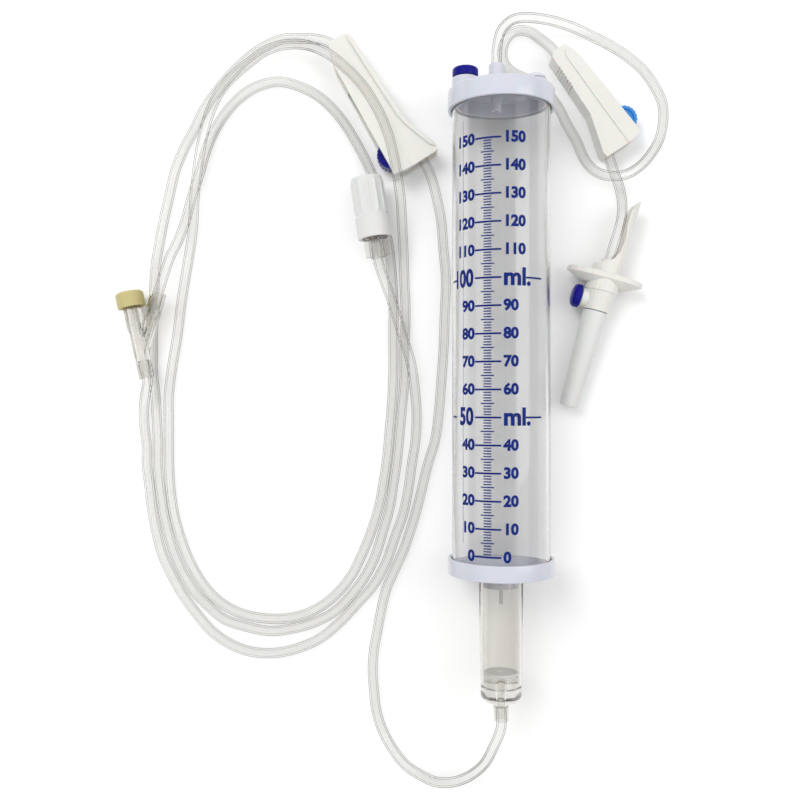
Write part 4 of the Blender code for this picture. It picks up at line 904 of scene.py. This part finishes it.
# Outlines of (radius, height), over the base height or in the frame that the piece is turned with
VENT_BOSS = cup(
    VENT_RECESS_R, VENT_BOSS_R, -BOSS_ROOT, VENT_BOSS_HEIGHT - VENT_RECESS_DEPTH, VENT_BOSS_HEIGHT
)
COLLAR_FLOOR = COLLAR_HEIGHT - SOCKET_DEPTH
COLLAR = [
    (SOCKET_R, COLLAR_FLOOR), (SOCKET_R, COLLAR_HEIGHT), (COLLAR_R, COLLAR_HEIGHT),
    (COLLAR_R, COLLAR_FOOT_HEIGHT), (COLLAR_FOOT_R, 0), (COLLAR_FOOT_R, -BOSS_ROOT),
    (ORIFICE_R, -BOSS_ROOT), (ORIFICE_R, COLLAR_FLOOR),
]
NOZZLE = [
    (ORIFICE_R, -NOZZLE_LENGTH), (NOZZLE_TIP_R, -NOZZLE_LENGTH), (NOZZLE_R, BOSS_ROOT),
    (ORIFICE_R, BOSS_ROOT),
]
SPARE_BOSS = cup(SPARE_DIMPLE_R, SPARE_R, -BOSS_ROOT, SPARE_HEIGHT - SPARE_DIMPLE_DEPTH, SPARE_HEIGHT)
PORT_BOSS = cup(
    PORT_RECESS_R, PORT_BOSS_R, -BOSS_ROOT, PORT_BOSS_HEIGHT - PORT_RECESS_DEPTH, PORT_BOSS_HEIGHT
)
CHAMBER_PLUG = ring(NEEDLE_R + FIT, CHAMBER_TOP_R - CHAMBER_WALL - FIT, -CAP_PLUG_HEIGHT, BOSS_ROOT)
NEEDLE_HUB = ring(NEEDLE_R + FIT, NEEDLE_HUB_R, BOSS_ROOT, CAP_PLATE + NEEDLE_HUB_HEIGHT)
VENT_CAP = [(0, -1.7), (3.7, -1.7), (3.7, 0), (5.05, 0), (5.05, 3.0), (4.5, 3.6), (3.5, 3.1), (0, 3.1)]
VENT_FILTER_U = VENT_BOSS_HEIGHT - VENT_RECESS_DEPTH + FIT
VENT_FILTER = ring(0, VENT_RECESS_R - FIT, VENT_FILTER_U, VENT_FILTER_U + VENT_FILTER_HEIGHT)
BUNG = [
    (0, -3.1), (3.0, -3.1), (3.0, 0), (4.1, 0), (4.1, 0.9), (3.2, 1.7), (2.2, 1.7), (1.8, 1.3), (0, 1.3),
]
CHAMBER = [
    (CHAMBER_BOTTOM_R - CHAMBER_WALL, CHAMBER_BOTTOM_U), (CHAMBER_BOTTOM_R, CHAMBER_BOTTOM_U),
    (CHAMBER_TOP_R, CHAMBER_TOP_U), (CHAMBER_TOP_R - CHAMBER_WALL, CHAMBER_TOP_U),
]
CHAMBER_FILTER = ring(
    FILTER_HOLE_R, CHAMBER_BOTTOM_R - CHAMBER_WALL - FIT, FILTER_U, FILTER_U + FILTER_HEIGHT
)
CHAMBER_BASE = [
    (2.3, 0), (2.8, 0), (3.1, 7.8), (6.4, 7.8), (7.95, 9.6), (7.95, 13.7), (6.65, 13.7), (6.65, 18.0),
    (1.4, 18.0), (1.4, 5.6), (2.3, 5.6),
]
NEEDLE = ring(
    NEEDLE_BORE_R, NEEDLE_R, BOTTOM_CAP_U - CAP_PLUG_HEIGHT - NEEDLE_DROP, BOTTOM_CAP_U + CAP_PLATE
)
SHEATH = [(4.05, 0), (4.95, 0), (3.65, 39.7), (0, 39.7), (0, 38.6), (2.75, 38.6)]
SIDE_CAP = [(0, -0.8), (2.6, -0.8), (2.6, 0), (4.7, 0), (4.7, 2.1), (4.0, 3.1), (2.4, 3.6), (0, 3.6)]
SEPTUM = [
    (0, -3.5), (2.1, -3.5), (2.6, -4.0), (4.7, -4.0), (5.5, -3.2), (5.5, 2.3), (3.8, 2.3), (3.8, -2.5),
    (0, -2.5),
]
LUER_COVER = [
    (0, 0), (6.2, 0), (6.2, 15.0), (6.8, 15.8), (6.8, 24.3), (5.2, 24.3), (5.2, 1.4), (0, 1.4),
]


def make_burette(settings):
    """The clear tube, turned, and the scale printed on it."""
    wall = ring(BURETTE_R - BURETTE_WALL, BURETTE_R, TUBE_BOTTOM_U, TUBE_TOP_U)
    turned("burette_wall", wall, BURETTE, "burette", replaced=("burette_tube",), sides=FINE_ROUND)
    make_scale(settings)


def make_caps():
    """Both burette caps and what stands on them, each a turned surface."""
    shell = dict(sides=LARGE_ROUND, corner=CAP_CORNER)
    on_top = dict(sides=MIDDLE_ROUND, base=TOP_FACE_U)
    turned(
        "top_cap_shell", burette_cap(TOP_RIM, TOP_SKIRT, -1), BURETTE, "caps", replaced=("top_cap",),
        base=TOP_FACE_U, **shell,
    )
    turned("vent_boss", VENT_BOSS, BURETTE, "caps", x=VENT_X, base=TOP_FACE_U)
    turned("inlet_collar", COLLAR, BURETTE, "caps", corner=0.25, x=COLLAR_X, **on_top)
    turned("inlet_nozzle", NOZZLE, BURETTE, "caps", sides=SMALL_ROUND, x=COLLAR_X, base=TOP_PLATE_U)
    turned("spare_boss", SPARE_BOSS, BURETTE, "caps", x=SPARE_X, **on_top)
    turned("port_boss", PORT_BOSS, BURETTE, "caps", x=PORT_X, **on_top)
    turned(
        "bottom_cap_shell", burette_cap(BOTTOM_RIM, BOTTOM_SKIRT, 1), BURETTE, "caps",
        replaced=("bottom_cap",), base=BOTTOM_CAP_U, **shell,
    )
    turned("chamber_plug", CHAMBER_PLUG, BURETTE, "caps", base=BOTTOM_CAP_U)
    turned("needle_hub", NEEDLE_HUB, BURETTE, "caps", sides=SMALL_ROUND, base=BOTTOM_CAP_U)
    turned(
        "blue_vent_cap", VENT_CAP, BURETTE, "navy", "vent_cap", ("vent_cap",), sides=MIDDLE_ROUND,
        corner=0.35, x=VENT_X, base=TOP_FACE_U + VENT_BOSS_HEIGHT + FIT,
    )
    turned(
        "vent_disc", VENT_FILTER, BURETTE, "filters", replaced=("vent_filter",), sides=SMALL_ROUND,
        corner=0.15, x=VENT_X, base=TOP_FACE_U,
    )
    turned(
        "soft_bung", BUNG, BURETTE, "bung", replaced=("injection_port_bung",), sides=MIDDLE_ROUND,
        corner=0.4, x=PORT_X, base=TOP_FACE_U + PORT_BOSS_HEIGHT + FIT,
    )


def make_drip_chamber():
    """Chamber, filter, base and needle, each a turned surface."""
    turned("chamber_wall", CHAMBER, BURETTE, "clear_mouldings", replaced=("drip_chamber",), corner=0.25)
    turned(
        "chamber_filter_disc", CHAMBER_FILTER, BURETTE, "filters", replaced=("chamber_filter",), corner=0.15
    )
    turned(
        "chamber_base", CHAMBER_BASE, BURETTE, "clear_mouldings", replaced=("drip_chamber_base",), corner=0.5
    )
    turned(
        "drip_pipe", NEEDLE, BURETTE, "needle", replaced=("drip_needle",), sides=NEEDLE_ROUND, corner=0.05
    )


# Solids that are shown as they are: material slot and width of the rounded edges
SHOWN_NODES = {
    "inlet_clamp_body": ("milky", 0.35), "main_clamp_body": ("milky", 0.4), "spike": ("milky", 0.2),
    "inlet_clamp_wheel": ("azure", 0.12), "main_clamp_wheel": ("navy", 0.12),
    "spike_vent_filter": ("filters", 0.0), "y_site_body": ("clear_mouldings", 0.2),
    "luer_connector": ("clear_mouldings", 0.15),
}


def dress_nodes():
    """Gives the solids that are shown as they are their materials, smooth faces and rounded edges."""
    for node, (slot, edge) in SHOWN_NODES.items():
        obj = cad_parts[node]
        obj.data.materials.clear()
        obj.data.materials.append(material(slot))
        obj.data.shade_smooth()
        obj.data.set_sharp_from_angle(angle=NODE_SHARP)
        if edge:
            bevel = obj.modifiers.new("soft edges", "BEVEL")
            bevel.width = edge * MM
            bevel.segments = BEVEL_SEGMENTS
            bevel.limit_method = "ANGLE"
            bevel.angle_limit = BEVEL_ANGLE
            bevel.harden_normals = True


def make_clamp_bead():
    """An ellipse (w cos t, h sin t), half sunk, along v = e - k (d + sqrt(d d + s s)) / 2.

    Here d is the length past the flare, k its slope, s its softness and e the distance from the edge.
    """
    u = np.linspace(BEAD_START, BEAD_END, BEAD_ROWS)
    past = u - FLARE_START
    v = BEAD_EDGE - FLARE_SLOPE * (past + np.sqrt(past ** 2 + FLARE_SOFTNESS ** 2)) / 2
    line = np.column_stack([u, v])
    tangent = np.gradient(line, axis=0)
    tangent /= np.linalg.norm(tangent, axis=1, keepdims=True)
    across = np.column_stack([-tangent[:, 1], tangent[:, 0]])
    turn = np.linspace(0, 2 * np.pi, BEAD_SIDES, endpoint=False)
    to_end = np.minimum(u - BEAD_START, BEAD_END - u) / BEAD_WIDTH
    taper = np.sqrt(np.clip(to_end, BEAD_THINNEST, 1.0))[:, None]
    sideways = BEAD_WIDTH / 2 * taper * np.cos(turn)
    height = BEAD_HEIGHT * taper * np.sin(turn)
    flat = line[:, None, :] + across[:, None, :] * sideways[:, :, None]
    points = np.concatenate([flat, height[:, :, None]], axis=2).reshape(-1, 3)
    faces = grid_faces(BEAD_ROWS, BEAD_SIDES, False, True)
    faces.append(list(range(BEAD_SIDES)))
    faces.append(list(range((BEAD_ROWS - 1) * BEAD_SIDES, BEAD_ROWS * BEAD_SIDES)))
    return piece("main_clamp_bead", placed(LARGE_CLAMP, points), faces, "milky")


def make_luer_cover():
    """A turned surface whose outside swells by h |cos(n a / 2)|^p between two heights, with n ribs."""
    loop = rounded(LUER_COVER, COVER_CORNER, COVER_CORNER_STEPS)
    rows = []
    for (r, z), (next_r, next_z) in zip(loop, loop[1:] + loop[:1]):
        outside = r > COVER_OUTSIDE_R
        rows.append((r, z, outside))
        if outside and next_r > COVER_OUTSIDE_R and abs(next_z - z) > COVER_LONG_SIDE:
            steps = np.linspace(0, 1, COVER_ROWS)[1:-1]
            rows += [(r + (next_r - r) * t, z + (next_z - z) * t, True) for t in steps]
    r, z, outside = (column[:, None] for column in np.array(rows, float).T)
    share = np.clip(np.minimum(z - RIB_START, RIB_END - z) / RIB_FADE, 0, 1) * outside
    angles = np.linspace(0, 2 * np.pi, RIBS * RIB_FACETS, endpoint=False)
    radius = r + np.abs(np.cos(angles * RIBS / 2)) ** RIB_SHARPNESS * RIB_HEIGHT * share
    along = np.broadcast_to(z, radius.shape)
    points = np.stack([radius * np.cos(angles), radius * np.sin(angles), along], axis=2).reshape(-1, 3)
    faces = grid_faces(len(rows), len(angles), True, True)
    return piece("frosted_cover", placed(LUER, points), faces, "frosted", "luer_cover", ("luer_cover",))


def make_covers():
    """The spike's sheath and side cap, the luer cover and the septum, each a finer turned surface."""
    return {
        "spike_sheath": turned(
            "frosted_sheath", SHEATH, SHEATH_SEAT, "frosted", "spike_sheath", ("spike_sheath",), corner=0.45
        ),
        "spike_vent_cap": turned(
            "blue_side_cap", SIDE_CAP, SIDE_CAP_SEAT, "navy", "spike_vent_cap", ("spike_vent_cap",),
            sides=MIDDLE_ROUND, corner=0.4,
        ),
        "luer_cover": make_luer_cover(),
        "y_site_septum": turned(
            "amber_septum", SEPTUM, Y_SITE, "amber", replaced=("y_site_septum",), sides=MIDDLE_ROUND
        ),
    }


def make_camera():
    """A camera straight above that frames the photograph's square."""
    data = bpy.data.cameras.new("camera")
    data.sensor_width = SENSOR_MM
    data.lens = PHOTO_FOCAL_PX / PHOTO_PX * SENSOR_MM
    data.clip_start = CLIP_START
    data.clip_end = CLIP_END
    camera = put("camera", data)
    camera.location = Vector(CAMERA_PLACE) * MM
    bpy.context.scene.camera = camera


def light_panel(name, place, size, power, mirrored):
    """A square light turned to the set. One that isn't mirrored leaves no bright streak in clear plastic."""
    data = bpy.data.lights.new(name, "AREA")
    data.size = size
    data.energy = power
    obj = put(name, data)
    obj.visible_glossy = mirrored
    obj.visible_transmission = mirrored
    obj.location = place
    obj.rotation_euler = (Vector(LIGHT_TARGET) - Vector(place)).to_track_quat("-Z", "Y").to_euler()


def make_world(settings):
    """Plain backdrop to the camera, and for light horizon + (zenith - horizon) height^curve."""
    world = bpy.data.worlds.new("sky")
    graph = Graph(world)
    upward = graph.node("ShaderNodeTexCoord", "Generated")
    height = graph.node("ShaderNodeSeparateXYZ", "Z", Vector=upward)
    sky = height.clamped().power(SKY_CURVE) * (settings.zenith - settings.horizon) + settings.horizon
    seen = graph.node("ShaderNodeLightPath", "Is Camera Ray")
    strength = sky * (1.0 - seen) + seen * settings.backdrop
    graph.finish(graph.node("ShaderNodeBackground", Color=WHITE, Strength=strength), "ShaderNodeOutputWorld")
    bpy.context.scene.world = world


def make_floor(settings):
    """A square under the set."""
    mesh = bpy.data.meshes.new("floor")
    corners = [(x * FLOOR_REACH, y * FLOOR_REACH, 0) for x, y in ((-1, -1), (1, -1), (1, 1), (-1, 1))]
    mesh.from_pydata(corners, [], [(0, 1, 2, 3)])
    mesh.materials.append(plain_floor("floor", settings.floor_color))
    put("floor", mesh)


class INFUSION_OT_stage(bpy.types.Operator):
    """Camera, sky, lights and floor"""

    bl_idname = "infusion.stage"
    bl_label = "Stage"

    def execute(self, context):
        settings = context.scene.infusion_stage
        make_camera()
        make_world(settings)
        make_floor(settings)
        light_panel("key", KEY_PLACE, KEY_SIZE, settings.key_power, False)
        light_panel("fill", FILL_PLACE, FILL_SIZE, settings.fill_power, True)
        context.scene.view_settings.view_transform = "Standard"
        return {"FINISHED"}


class INFUSION_OT_tubes(bpy.types.Operator):
    """The three soft tubes and what rides on them"""

    bl_idname = "infusion.tubes"
    bl_label = "Soft tubes"

    def execute(self, context):
        settings = context.scene.infusion_tube
        carried = make_covers()
        carried["main_clamp_bead"] = make_clamp_bead()
        make_tubes(settings)
        return {"FINISHED"}


class INFUSION_OT_burette(bpy.types.Operator):
    """The clear burette and its printed scale"""

    bl_idname = "infusion.burette"
    bl_label = "Burette"

    def execute(self, context):
        make_burette(context.scene.infusion_print)
        return {"FINISHED"}


class INFUSION_OT_caps(bpy.types.Operator):
    """Both burette caps with their bosses, vent cap, filter and bung"""

    bl_idname = "infusion.caps"
    bl_label = "Caps"

    def execute(self, context):
        make_caps()
        return {"FINISHED"}


class INFUSION_OT_drip_chamber(bpy.types.Operator):
    """Drip chamber, needle, filter and base"""

    bl_idname = "infusion.drip_chamber"
    bl_label = "Drip chamber"

    def execute(self, context):
        make_drip_chamber()
        return {"FINISHED"}


class INFUSION_OT_fittings(bpy.types.Operator):
    """Clamps, spike, side-inlet connector and luer end"""

    bl_idname = "infusion.fittings"
    bl_label = "Fittings"

    def execute(self, context):
        dress_nodes()
        return {"FINISHED"}


class INFUSION_PT_panel(bpy.types.Panel):
    """Sidebar panel of the infusion set"""

    bl_label = "Infusion set"
    bl_idname = "INFUSION_PT_panel"
    bl_space_type = "VIEW_3D"
    bl_region_type = "UI"
    bl_category = "Infusion set"

    def draw(self, context):
        layout = self.layout
        scene = context.scene
        for settings in (scene.infusion_stage, scene.infusion_tube, scene.infusion_print):
            box = layout.box()
            for name in settings.bl_rna.properties.keys():
                if name not in ("rna_type", "name"):
                    box.prop(settings, name)
        for operator in OPERATORS:
            layout.operator(operator.bl_idname)


OPERATORS = (
    INFUSION_OT_stage, INFUSION_OT_tubes, INFUSION_OT_burette, INFUSION_OT_caps, INFUSION_OT_drip_chamber,
    INFUSION_OT_fittings,
)
CLASSES = (StageSettings, TubeSettings, PrintSettings, *OPERATORS, INFUSION_PT_panel)


def register():
    for cls in CLASSES:
        bpy.utils.register_class(cls)
    bpy.types.Scene.infusion_stage = PointerProperty(type=StageSettings)
    bpy.types.Scene.infusion_tube = PointerProperty(type=TubeSettings)
    bpy.types.Scene.infusion_print = PointerProperty(type=PrintSettings)


def unregister():
    del bpy.types.Scene.infusion_print
    del bpy.types.Scene.infusion_tube
    del bpy.types.Scene.infusion_stage
    for cls in reversed(CLASSES):
        bpy.utils.unregister_class(cls)


def main():
    register()
    bpy.ops.infusion.stage()
    bpy.ops.infusion.tubes()
    bpy.ops.infusion.burette()
    bpy.ops.infusion.caps()
    bpy.ops.infusion.drip_chamber()
    bpy.ops.infusion.fittings()
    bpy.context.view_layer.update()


if __name__ == "__main__":
    main()
